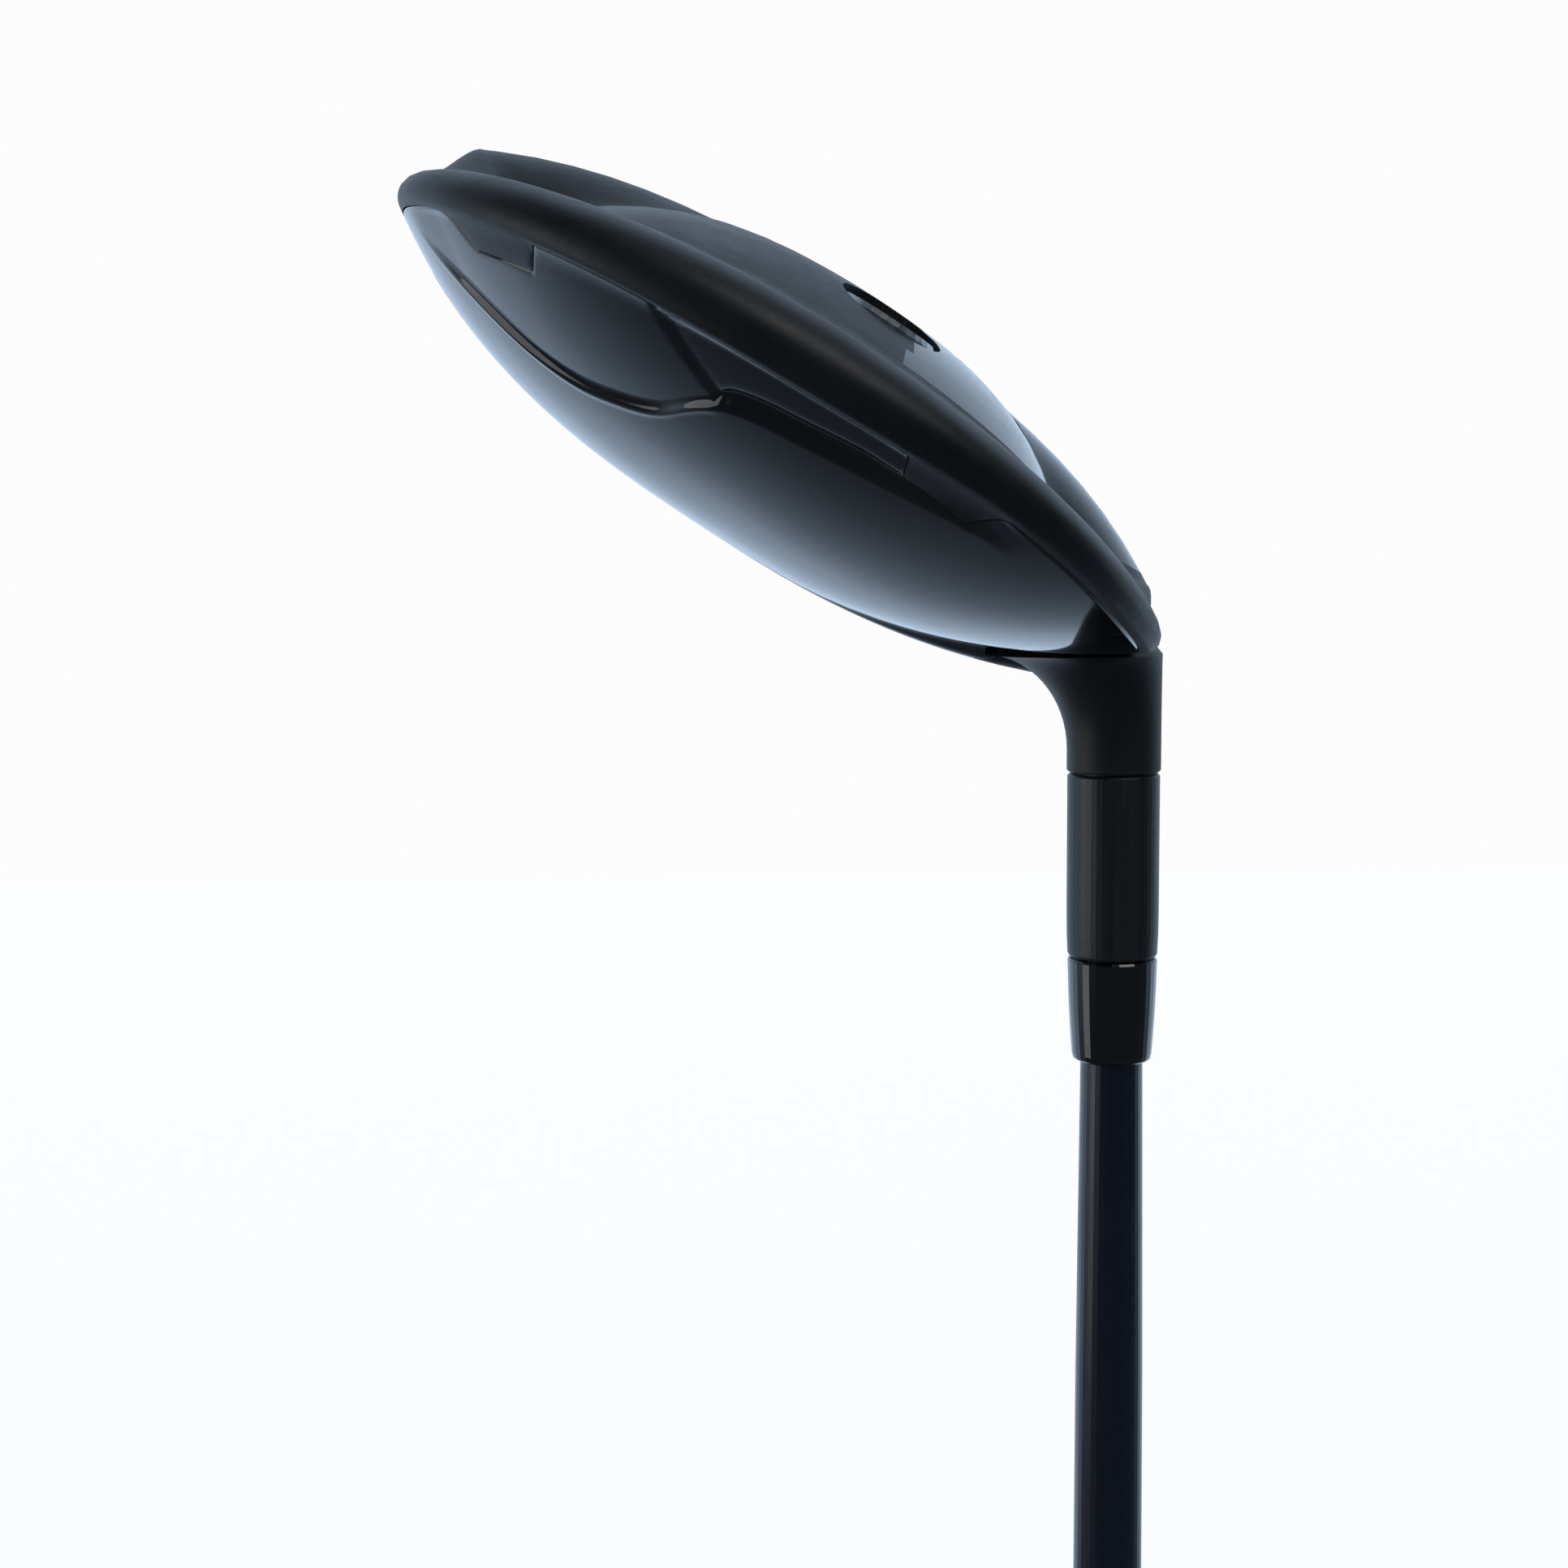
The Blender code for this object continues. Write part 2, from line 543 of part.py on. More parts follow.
def build_head(mats):
    a = head_angles()
    body = body_shell(a, mats["body"])

    # Neck, flare and the tube that carries the adapter, trimmed to the head's outside
    neck = flare("neck")
    tube = turned("tube", [(0, NECK_END + 9 * MM), (TUBE_RADIUS, NECK_END + 9 * MM),
                           (TUBE_RADIUS, CLUB_LENGTH + 6 * MM), (0, CLUB_LENGTH + 6 * MM)])
    boolean(tube, outer_volume(a, "tube_trim", 0.4 * MM), "INTERSECT")
    boolean(body, neck, "UNION")
    boolean(body, tube, "UNION")

    # Face opening
    cutter = place(prism("face_cut", FACE_LENGTH / 2 + GAP, FACE_HEIGHT / 2 + GAP, 7 * MM), face_matrix())
    boolean(body, cutter)

    # A thick pad in the floor with a shallow recess for the sole plate
    plate_matrix = address_matrix(PLATE_T, PLATE_B, 0.0)
    pad = place(prism("pad", PLATE_HALF_T + 2 * MM, PLATE_HALF_B + 2 * MM, PAD_HEIGHT), plate_matrix)
    boolean(pad, outer_volume(a, "pad_trim", 0.4 * MM), "INTERSECT")
    boolean(body, pad, "UNION")
    recess = place(prism("recess", PLATE_HALF_T + GAP, PLATE_HALF_B + GAP, 14 * MM), plate_matrix)
    boolean(recess, lifted_volume(a, PLATE_WALL + GAP))
    boolean(body, recess)
    plate = outer_volume(a, "sole_plate")
    plate.data.materials.append(mats["gloss"])
    boolean(plate, place(prism("plate_edge", PLATE_HALF_T, PLATE_HALF_B, 14 * MM), plate_matrix), "INTERSECT")
    boolean(plate, lifted_volume(a, PLATE_WALL))
    weld(plate)

    # Weight bosses inside the sole, then their stepped pockets
    matrices = {"rear": weight_matrix(REAR_WEIGHT, math.radians(4)),
                "front": weight_matrix(FRONT_WEIGHT, 0.0)}
    depth = WEIGHT_RECESS + WEIGHT_HEAD + SEAL_THICKNESS + 2 * GAP
    for key, matrix in matrices.items():
        boss_radius = WEIGHT_RADIUS + GAP + BOSS_WALL
        boss_top = -(depth + WEIGHT_STEM + GAP + BOSS_WALL)
        boss = place(turned("boss", [(0, boss_top), (WEIGHT_STEM_RADIUS + GAP + BOSS_WALL, boss_top),
                                     (WEIGHT_STEM_RADIUS + GAP + BOSS_WALL, -depth - BOSS_WALL),
                                     (boss_radius, -depth - BOSS_WALL + 1 * MM),
                                     (boss_radius, 3 * MM), (0, 3 * MM)], count=32), matrix)
        boolean(boss, outer_volume(a, "boss_trim", 0.4 * MM), "INTERSECT")
        boolean(body, boss, "UNION")
        pocket = place(turned("pocket", [(0, -depth - WEIGHT_STEM - GAP),
                                         (WEIGHT_STEM_RADIUS + GAP, -depth - WEIGHT_STEM - GAP),
                                         (WEIGHT_STEM_RADIUS + GAP, -depth), (WEIGHT_RADIUS + GAP, -depth),
                                         (WEIGHT_RADIUS + GAP, 6 * MM), (0, 6 * MM)], count=32), matrix)
        boolean(body, pocket)

    # Adapter bore with its splines, web hole and the port for the screw
    bore = SLEEVE_INNER_RADIUS + GAP
    tooth = bore - SPLINE_HEIGHT
    low = NECK_END + SLEEVE_INNER_LENGTH - SPLINE_LENGTH + 1 * MM
    high = NECK_END + SLEEVE_INNER_LENGTH + 0.5 * MM
    count = 4 * SPLINE_COUNT
    drill = mesh_from_rings("drill", [
        [(0.0, 0.0, NECK_END - 2 * MM)],
        circle(bore + 0.4 * MM, NECK_END - 2 * MM, count), circle(bore + 0.4 * MM, NECK_END + 0.01 * MM, count),
        circle(bore, NECK_END + 0.5 * MM, count), circle(bore, low - 0.3 * MM, count),
        spline_ring(tooth, bore, low), spline_ring(tooth, bore, high),
        circle(bore, high + 0.2 * MM, count), circle(bore, NECK_END + BORE_DEPTH, count),
        circle(SCREW_RADIUS + 2 * GAP, NECK_END + BORE_DEPTH, count),
        circle(SCREW_RADIUS + 2 * GAP, NECK_END + BORE_DEPTH + SEAT_WEB, count),
        circle(SCREW_PORT_RADIUS, NECK_END + BORE_DEPTH + SEAT_WEB, count),
        circle(SCREW_PORT_RADIUS, CLUB_LENGTH + 12 * MM, count),
        [(0.0, 0.0, CLUB_LENGTH + 12 * MM)]])
    boolean(body, drill)
    weld(body)

    crown = crown_shell(a, mats["crown"])
    boolean(crown, flare("flare_gap", extra=GAP))
    weld(crown)

    # Face insert cut from the same outside as the body
    face = outer_volume(a, "face_insert")
    face.data.materials.append(mats["face"])
    boolean(face, place(prism("face_keep", FACE_LENGTH / 2, FACE_HEIGHT / 2, 7 * MM), face_matrix()), "INTERSECT")
    back = place(prism("face_back", FACE_LENGTH, FACE_LENGTH, 30 * MM), face_matrix())
    back.matrix_world = back.matrix_world @ Matrix.Translation((0, 0, -(30 * MM + FACE_WALL)))
    boolean(face, back)
    for k in range(SCORE_COUNT):
        offset = (k - (SCORE_COUNT - 1) / 2) * SCORE_PITCH
        length = FACE_LENGTH * (0.44 if k else 0.40)
        score = place(prism("score", length / 2, SCORE_WIDTH / 2, SCORE_DEPTH, power=8, count=12), face_matrix())
        score.matrix_world = score.matrix_world @ Matrix.Translation((0, offset, 0.1 * MM))
        boolean(face, score)
    weld(face)
    for ob in (body, crown, face, plate):
        smooth(ob, 38)
    return body, crown, face, plate, matrices, depth


def build_weights(mats, matrices, depth):
    made = []
    for key, matrix in matrices.items():
        low = -WEIGHT_RECESS - WEIGHT_HEAD
        profile = [(0, low - SEAL_THICKNESS - GAP - WEIGHT_STEM + GAP),
                   (WEIGHT_STEM_RADIUS - 0.6 * MM, low - SEAL_THICKNESS - WEIGHT_STEM),
                   (WEIGHT_STEM_RADIUS, low - SEAL_THICKNESS - WEIGHT_STEM + 0.6 * MM),
                   (WEIGHT_STEM_RADIUS, low), (WEIGHT_RADIUS, low),
                   (WEIGHT_RADIUS, -WEIGHT_RECESS - 0.6 * MM), (WEIGHT_RADIUS - 0.6 * MM, -WEIGHT_RECESS),
                   (0, -WEIGHT_RECESS)]
        weight = place(turned(key + "_weight", profile, mats["weight"], 32), matrix)
        socket = place(star_socket("socket", 2.3 * MM, 2.2 * MM), matrix)
        socket.matrix_world = socket.matrix_world @ Matrix.Translation((0, 0, -WEIGHT_RECESS))
        boolean(weight, socket)
        weld(weight)
        smooth(weight)
        low_seal = low - GAP - SEAL_THICKNESS
        inner = WEIGHT_STEM_RADIUS + GAP
        seal = place(turned(key + "_weight_seal",
                            [(inner, low_seal), (WEIGHT_RADIUS - GAP, low_seal),
                             (WEIGHT_RADIUS - GAP, low - GAP), (inner, low - GAP)],
                            mats["seal"], 32, closed=True), matrix)
        smooth(seal)
        made += [weight, seal]
    return made


def star_socket(name, radius, depth, lobes=6):
    """A six-lobe driver socket, opening at local Z = 0 and going down."""
    rings = []
    for z in (-depth, 1 * MM):
        ring = []
        for i in range(lobes * 4):
            angle = 2 * math.pi * i / (lobes * 4)
            r = radius * (0.87 + 0.13 * math.cos(lobes * angle))
            ring.append((r * math.cos(angle), r * math.sin(angle), z))
        rings.append(ring)
    rings = [[(0, 0, -depth - 0.5 * MM)]] + rings + [[(0, 0, 1 * MM)]]
    return mesh_from_rings(name, rings)


def build_adapter(mats):
    start = NECK_END - GAP - SLEEVE_VISIBLE
    bore = SHAFT_TIP_RADIUS + GAP
    count = 4 * SPLINE_COUNT
    end = NECK_END + SLEEVE_INNER_LENGTH
    spline_low = end - SPLINE_LENGTH
    plug_floor = NECK_END + SHAFT_INSERTION + 2 * GAP + PLUG_HEAD
    hole = INSERT_RADIUS + GAP
    root = SLEEVE_INNER_RADIUS - SPLINE_HEIGHT
    sleeve = mesh_from_rings("adapter_sleeve", [
        circle(bore + 0.3 * MM, start, count),
        circle(SLEEVE_RADIUS - SLEEVE_TAPER - 0.25 * MM, start, count),
        circle(SLEEVE_RADIUS - SLEEVE_TAPER, start + 0.4 * MM, count),
        circle(SLEEVE_RADIUS - 0.04 * MM, start + 3.0 * MM, count),
        circle(SLEEVE_RADIUS, start + 6.0 * MM, count),
        circle(SLEEVE_RADIUS, NECK_END - GAP - 0.3 * MM, count),
        circle(SLEEVE_RADIUS - 0.3 * MM, NECK_END - GAP, count),
        circle(SLEEVE_INNER_RADIUS, NECK_END - GAP, count),
        circle(SLEEVE_INNER_RADIUS, spline_low - 0.8 * MM, count),
        circle(SLEEVE_INNER_RADIUS, spline_low, count),
        spline_ring(root, SLEEVE_INNER_RADIUS, spline_low + 0.1 * MM),
        spline_ring(root, SLEEVE_INNER_RADIUS, end - 0.6 * MM),
        circle(root - 0.2 * MM, end, count),
        circle(hole, end, count), circle(hole, NECK_END + INSERT_START - GAP, count),
        [(0.0, 0.0, NECK_END + INSERT_START - GAP)]], mats["sleeve"])
    shaft_hole = turned("shaft_hole", [(0, start - 1 * MM), (bore, start - 1 * MM), (bore, plug_floor),
                                       (0, plug_floor)], count=count)
    cap = sleeve.data
    bm = bmesh.new()
    bm.from_mesh(cap)
    rim = [e for e in bm.edges if e.is_boundary]
    bmesh.ops.edgeloop_fill(bm, edges=rim)
    bmesh.ops.recalc_face_normals(bm, faces=bm.faces)
    bm.to_mesh(cap)
    bm.free()
    boolean(sleeve, shaft_hole)
    weld(sleeve)
    smooth(sleeve)

    insert = turned("thread_insert", [
        (SCREW_RADIUS + GAP, NECK_END + INSERT_START), (INSERT_RADIUS, NECK_END + INSERT_START),
        (INSERT_RADIUS, end - GAP), (SCREW_RADIUS + GAP + 0.4 * MM, end - GAP),
        (SCREW_RADIUS + GAP, end - GAP - 0.4 * MM)], mats["steel"], closed=True)
    smooth(insert)

    web = NECK_END + BORE_DEPTH
    retainer = turned("screw_retainer", [
        (SCREW_RADIUS + GAP, web - GAP - RETAINER_THICKNESS),
        (SLEEVE_INNER_RADIUS - 0.8 * MM, web - GAP - RETAINER_THICKNESS),
        (SLEEVE_INNER_RADIUS - 0.8 * MM, web - GAP), (SCREW_RADIUS + GAP, web - GAP)],
        mats["seal"], closed=True)
    smooth(retainer)

    seat = web + SEAT_WEB + GAP
    washer = turned("screw_washer", [
        (SCREW_RADIUS + GAP, seat), (SCREW_HEAD_RADIUS + 0.2 * MM, seat),
        (SCREW_HEAD_RADIUS + 0.2 * MM, seat + WASHER_THICKNESS), (SCREW_RADIUS + GAP, seat + WASHER_THICKNESS)],
        mats["steel"], closed=True)
    smooth(washer)

    head = seat + WASHER_THICKNESS + GAP
    tip = NECK_END + SCREW_TIP
    profile = [(0, tip), (SCREW_RADIUS - 0.6 * MM, tip), (SCREW_RADIUS, tip + 0.7 * MM)]
    grooves = 8
    for k in range(grooves):
        z = tip + (1.2 + 0.8 * k) * MM
        profile += [(SCREW_RADIUS, z), (SCREW_RADIUS - 0.35 * MM, z + 0.4 * MM)]
    profile += [(SCREW_RADIUS, tip + (1.2 + 0.8 * grooves) * MM), (SCREW_RADIUS, head),
                (SCREW_HEAD_RADIUS, head), (SCREW_HEAD_RADIUS, head + SCREW_HEAD_HEIGHT - 0.5 * MM),
                (SCREW_HEAD_RADIUS - 0.5 * MM, head + SCREW_HEAD_HEIGHT), (0, head + SCREW_HEAD_HEIGHT)]
    screw = turned("hosel_screw", profile, mats["steel"], 24)
    socket = star_socket("screw_socket", 2.2 * MM, 2.8 * MM)
    place(socket, Matrix.Translation((0, 0, head + SCREW_HEAD_HEIGHT)))
    boolean(screw, socket)
    weld(screw)
    smooth(screw)

    ferrule_top = start - GAP
    ferrule_low = ferrule_top - FERRULE_LENGTH
    inner = SHAFT_TIP_RADIUS + 1.2 * GAP
    profile = [(inner, ferrule_low)]
    for k in range(7):
        share = k / 6
        bulge = math.sin(share * math.pi) * 0.1 * MM
        radius = FERRULE_END_RADIUS + (FERRULE_RADIUS - FERRULE_END_RADIUS) * share + bulge
        if k == 0:
            profile += [(radius - 0.6 * MM, ferrule_low), (radius - 0.15 * MM, ferrule_low + 0.35 * MM)]
        profile.append((radius, ferrule_low + (1.0 + share * (FERRULE_LENGTH / MM - 1.3)) * MM))
    profile += [(FERRULE_RADIUS - 0.2 * MM, ferrule_top), (inner, ferrule_top)]
    ferrule = turned("ferrule", profile, mats["gloss"], closed=True)
    smooth(ferrule)
    return sleeve, insert, retainer, washer, screw, ferrule, ferrule_low


def shaft_radius(z, ferrule_low):
    mid = ferrule_low - SHAFT_TIP_LENGTH
    stations = (0, SHAFT_BUTT_PARALLEL, mid, ferrule_low, CLUB_LENGTH)
    radii = (SHAFT_BUTT_RADIUS, SHAFT_BUTT_RADIUS, SHAFT_MID_RADIUS, SHAFT_TIP_RADIUS, SHAFT_TIP_RADIUS)
    return float(np.interp(z, stations, radii))


def build_shaft(mats, ferrule_low):
    end = NECK_END + SHAFT_INSERTION
    mid = ferrule_low - SHAFT_TIP_LENGTH
    stations = [SHAFT_START, SHAFT_BUTT_PARALLEL]
    stations += [SHAFT_BUTT_PARALLEL + (mid - SHAFT_BUTT_PARALLEL) * k / 6 for k in range(1, 7)]
    stations += [mid + SHAFT_TIP_LENGTH / 2, ferrule_low, end]
    outside = [(shaft_radius(z, ferrule_low), z) for z in stations]
    inside = []
    for z in reversed(stations):
        share = (z - SHAFT_START) / (end - SHAFT_START)
        wall = SHAFT_WALL_BUTT + (SHAFT_WALL_TIP - SHAFT_WALL_BUTT) * share
        inside.append((shaft_radius(z, ferrule_low) - wall, z))
    shaft = turned("shaft", outside + inside, mats["shaft"], closed=True)
    smooth(shaft)
    pin = SHAFT_TIP_RADIUS - SHAFT_WALL_TIP - GAP
    plug = turned("tip_plug", [
        (0, end - PLUG_LENGTH), (pin - 0.4 * MM, end - PLUG_LENGTH), (pin, end - PLUG_LENGTH + 1 * MM),
        (pin, end + GAP), (SHAFT_TIP_RADIUS, end + GAP), (SHAFT_TIP_RADIUS, end + GAP + PLUG_HEAD),
        (0, end + GAP + PLUG_HEAD)], mats["steel"], 24)
    smooth(plug)

    tape_start = GRIP_CAP + 2 * GAP
    tape_in = SHAFT_BUTT_RADIUS + GAP
    stations = [tape_start, SHAFT_BUTT_PARALLEL, TAPE_LENGTH]
    inner = [shaft_radius(z, ferrule_low) + GAP for z in stations]
    rings = [(r + TAPE_THICKNESS, z) for r, z in zip(inner, stations)]
    rings += [(r, z) for r, z in reversed(list(zip(inner, stations)))]
    tape = turned("grip_tape", rings, mats["tape"], closed=True)
    smooth(tape)

    stations = [GRIP_CAP, SHAFT_BUTT_PARALLEL, GRIP_LENGTH]
    gap = 2 * GAP + TAPE_THICKNESS
    inside = [(shaft_radius(z, ferrule_low) + gap, z) for z in stations]
    profile = [(VENT_RADIUS, 0), (GRIP_BUTT_RADIUS - 1.6 * MM, 0), (GRIP_BUTT_RADIUS - 0.5 * MM, 0.5 * MM),
               (GRIP_BUTT_RADIUS, 1.6 * MM), (GRIP_BUTT_RADIUS, 5 * MM)]
    first = 12 * MM
    for k in range(13):
        z = first + (GRIP_LENGTH - first - 3 * MM) * k / 12
        share = (z - first) / (GRIP_LENGTH - first)
        radius = GRIP_BUTT_RADIUS - 0.6 * MM + (GRIP_MOUTH_RADIUS - GRIP_BUTT_RADIUS + 0.6 * MM) * share ** 0.8
        profile.append((radius, z))
    profile += [(inside[-1][0] + 0.5 * MM, GRIP_LENGTH), inside[2], inside[1], inside[0],
                (VENT_RADIUS, GRIP_CAP)]
    grip = turned("grip", profile, mats["grip"], closed=True)
    smooth(grip)
    return shaft, plug, tape, grip


def inner_mass(name, spot, half_t, half_b, height, mat):
    """A block bonded on top of the pad inside the sole."""
    block = prism(name, half_t, half_b, height / 2, power=4, count=28)
    block.data.materials.append(mat)
    place(block, address_matrix(spot[0], spot[1], PAD_HEIGHT + GAP + height / 2))
    smooth(block)
    return block


# ---------------------------------------------------------------- build
clear_scene()
MATS = {
    "body": material("matte_black_body", (0.022, 0.024, 0.028), 0.5, 0.4),
    "crown": material("gloss_black_crown", (0.008, 0.008, 0.01), 0.08, 0.0),
    "face": material("brushed_steel_face", (0.45, 0.46, 0.48), 0.35, 1.0),
    "weight": material("polished_weight", (0.35, 0.36, 0.38), 0.3, 1.0),
    "seal": material("black_nylon", (0.02, 0.02, 0.02), 0.6, 0.0),
    "sleeve": material("grey_adapter", (0.08, 0.082, 0.085), 0.4, 0.6),
    "steel": material("plain_steel", (0.4, 0.4, 0.42), 0.35, 1.0),
    "gloss": material("gloss_ferrule", (0.006, 0.006, 0.008), 0.1, 0.0),
    "shaft": material("navy_shaft", (0.006, 0.014, 0.04), 0.35, 0.0),
    "tape": material("cream_tape", (0.7, 0.66, 0.55), 0.8, 0.0),
    "grip": material("black_rubber", (0.02, 0.02, 0.022), 0.8, 0.0),
    "tungsten": material("tungsten_block", (0.3, 0.3, 0.31), 0.5, 1.0),
    "glue": material("damping_glue", (0.6, 0.5, 0.25), 0.6, 0.0),
}
BODY, CROWN, FACE, PLATE, WEIGHT_PLACES, WEIGHT_DEPTH = build_head(MATS)
WEIGHTS = build_weights(MATS, WEIGHT_PLACES, WEIGHT_DEPTH)
SLEEVE, INSERT, RETAINER, WASHER, SCREW, FERRULE, FERRULE_LOW = build_adapter(MATS)
SHAFT, PLUG, TAPE, GRIP = build_shaft(MATS, FERRULE_LOW)
TUNGSTEN = inner_mass("tungsten_bar", (50 * MM, 23 * MM), 10 * MM, 6 * MM, 4 * MM, MATS["tungsten"])
DAMPING = inner_mass("damping_pad", (28 * MM, 22 * MM), 6 * MM, 5 * MM, 3 * MM, MATS["glue"])
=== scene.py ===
"""Fairway wood with an adjustable hosel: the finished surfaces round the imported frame.

Row frame, metres: the origin is the centre of the grip's butt face, +Z runs up the shaft to the
head, +X points to the toe side and -Y is the side the face looks to. The head is shaped in its
address frame (t = toe, b = back, u = up from the ground), whose origin is where the shaft axis
meets the ground.
"""
import json
import math

import bmesh
import bpy
import numpy as np
from mathutils import Matrix, Vector


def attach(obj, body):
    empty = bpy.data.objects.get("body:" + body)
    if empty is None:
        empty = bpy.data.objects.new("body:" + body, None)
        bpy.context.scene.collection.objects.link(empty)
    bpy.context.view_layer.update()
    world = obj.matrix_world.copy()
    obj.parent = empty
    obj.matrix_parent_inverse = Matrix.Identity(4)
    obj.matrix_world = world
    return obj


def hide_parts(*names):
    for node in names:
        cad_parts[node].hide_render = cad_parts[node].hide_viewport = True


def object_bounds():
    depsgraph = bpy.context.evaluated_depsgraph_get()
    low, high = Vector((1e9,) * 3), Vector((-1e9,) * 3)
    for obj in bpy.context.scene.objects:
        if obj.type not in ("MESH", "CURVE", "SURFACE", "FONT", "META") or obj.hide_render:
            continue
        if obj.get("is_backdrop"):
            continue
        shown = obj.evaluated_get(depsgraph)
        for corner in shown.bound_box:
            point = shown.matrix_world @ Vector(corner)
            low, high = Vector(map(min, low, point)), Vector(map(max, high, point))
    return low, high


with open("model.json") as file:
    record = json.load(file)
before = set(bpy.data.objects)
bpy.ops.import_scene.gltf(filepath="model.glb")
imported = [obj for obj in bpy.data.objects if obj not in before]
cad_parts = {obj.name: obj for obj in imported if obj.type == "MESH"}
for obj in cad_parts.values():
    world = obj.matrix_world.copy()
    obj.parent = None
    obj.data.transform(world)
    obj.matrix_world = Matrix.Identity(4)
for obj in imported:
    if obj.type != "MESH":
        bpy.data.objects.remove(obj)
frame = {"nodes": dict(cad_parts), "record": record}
cad_low, cad_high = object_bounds()
MM = 0.001


# ---------------------------------------------------------------- camera, floor and light
# A close camera behind the head, a pale floor that the club's butt stands on, and a white room.
# Room and floor are bright on the face side and dim behind the camera, as in an open light tent.
CAMERA_PLACE = Vector((0.05082, 0.30398, 1.08374))
CAMERA_TURN = (83.970, 0.429, 178.954)       # degrees about X, Y and Z
camera_data = bpy.data.cameras.new("studio_camera")
camera = bpy.data.objects.new("studio_camera", camera_data)
bpy.context.scene.collection.objects.link(camera)
camera.location = CAMERA_PLACE
camera.rotation_euler = [math.radians(turn) for turn in CAMERA_TURN]
camera_data.sensor_width = 36.0
camera_data.lens = 50.973
camera_data.clip_start = 0.01
bpy.context.scene.camera = camera
bpy.context.scene.view_settings.view_transform = "Standard"


def node(tree, kind, inputs=None, **settings):
    """Add a shader node, set its options, and feed its inputs from values or other sockets."""
    made = tree.nodes.new(kind)
    for key, value in settings.items():
        setattr(made, key, value)
    for key, value in (inputs or {}).items():
        if isinstance(value, bpy.types.NodeSocket):
            tree.links.new(value, made.inputs[key])
        else:
            made.inputs[key].default_value = value
    return made


def scaled(tree, value, by):
    return node(tree, "ShaderNodeMath", {0: value, 1: by}, operation="MULTIPLY").outputs[0]


def bare_material(name):
    mat = bpy.data.materials.new(name)
    mat.use_nodes = True
    return mat, mat.node_tree, mat.node_tree.nodes["Principled BSDF"]


FLOOR_HALF = 7.0
COOL_WHITE = (0.62, 0.79, 1.0, 1.0)
floor_mesh = bpy.data.meshes.new("studio_floor")
floor_mesh.from_pydata([(-FLOOR_HALF, -FLOOR_HALF, 0), (FLOOR_HALF, -FLOOR_HALF, 0),
                        (FLOOR_HALF, FLOOR_HALF, 0), (-FLOOR_HALF, FLOOR_HALF, 0)], [], [(0, 1, 2, 3)])
floor = bpy.data.objects.new("studio_floor", floor_mesh)
floor.location.z = cad_low[2] - 0.0005
bpy.context.scene.collection.objects.link(floor)
floor_mat, tree, shader = bare_material("pale_floor")
cloud = node(tree, "ShaderNodeTexNoise", {"Scale": 3.0, "Detail": 3.0})
tint = node(tree, "ShaderNodeMix", {"Factor": cloud.outputs["Fac"], "A": (0.19, 0.19, 0.195, 1),
                                    "B": (0.22, 0.22, 0.22, 1)}, data_type="RGBA")
tree.links.new(tint.outputs["Result"], shader.inputs["Base Color"])
shader.inputs["Roughness"].default_value = 0.8
coords = node(tree, "ShaderNodeTexCoord")
parts = node(tree, "ShaderNodeSeparateXYZ", {"Vector": coords.outputs["Object"]})
sweep = node(tree, "ShaderNodeMapRange", {"Value": parts.outputs["Y"], "From Min": -2.0, "From Max": -0.1,
                                          "To Min": 0.95, "To Max": 0.04}, interpolation_type="SMOOTHSTEP")
seen = node(tree, "ShaderNodeLightPath")
glow = node(tree, "ShaderNodeMix", {"Factor": seen.outputs["Is Camera Ray"], "A": sweep.outputs["Result"],
                                    "B": 0.90}, data_type="FLOAT")
tree.links.new(glow.outputs["Result"], shader.inputs["Emission Strength"])
glow_tint = node(tree, "ShaderNodeMix", {"Factor": seen.outputs["Is Camera Ray"], "A": COOL_WHITE,
                                         "B": (1, 1, 1, 1)}, data_type="RGBA")
tree.links.new(glow_tint.outputs["Result"], shader.inputs["Emission Color"])
floor_mesh.materials.append(floor_mat)
floor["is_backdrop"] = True

world = bpy.data.worlds.new("white_room")
bpy.context.scene.world = world
world.use_nodes = True
tree = world.node_tree
toward = node(tree, "ShaderNodeTexCoord")
parts = node(tree, "ShaderNodeSeparateXYZ", {"Vector": toward.outputs["Generated"]})
front = node(tree, "ShaderNodeMapRange", {"Value": parts.outputs["Y"], "From Min": -0.9, "From Max": 0.15,
                                          "To Min": 1.0, "To Max": 0.08}, interpolation_type="SMOOTHERSTEP")
seen = node(tree, "ShaderNodeLightPath")
strength = node(tree, "ShaderNodeMix", {"Factor": seen.outputs["Is Camera Ray"], "A": front.outputs["Result"],
                                        "B": 0.98}, data_type="FLOAT")
background = tree.nodes["Background"]
tint = node(tree, "ShaderNodeMix", {"Factor": seen.outputs["Is Camera Ray"], "A": COOL_WHITE,
                                    "B": (1, 1, 1, 1)}, data_type="RGBA")
tree.links.new(tint.outputs["Result"], background.inputs["Color"])
tree.links.new(strength.outputs["Result"], background.inputs["Strength"])


def softbox(name, place, aim, size, power):
    data = bpy.data.lights.new(name, "AREA")
    data.shape = "DISK"
    data.size = size
    data.energy = power
    lamp = bpy.data.objects.new(name, data)
    lamp.location = place
    lamp.rotation_euler = (Vector(aim) - Vector(place)).to_track_quat("-Z", "Y").to_euler()
    bpy.context.scene.collection.objects.link(lamp)


HEAD_CENTRE = (0.045, 0.02, 1.095)
softbox("top_light", (-0.5, 0.75, 2.1), HEAD_CENTRE, 0.9, 5.0)
softbox("side_light", (1.1, 0.2, 1.0), HEAD_CENTRE, 0.8, 2.0)


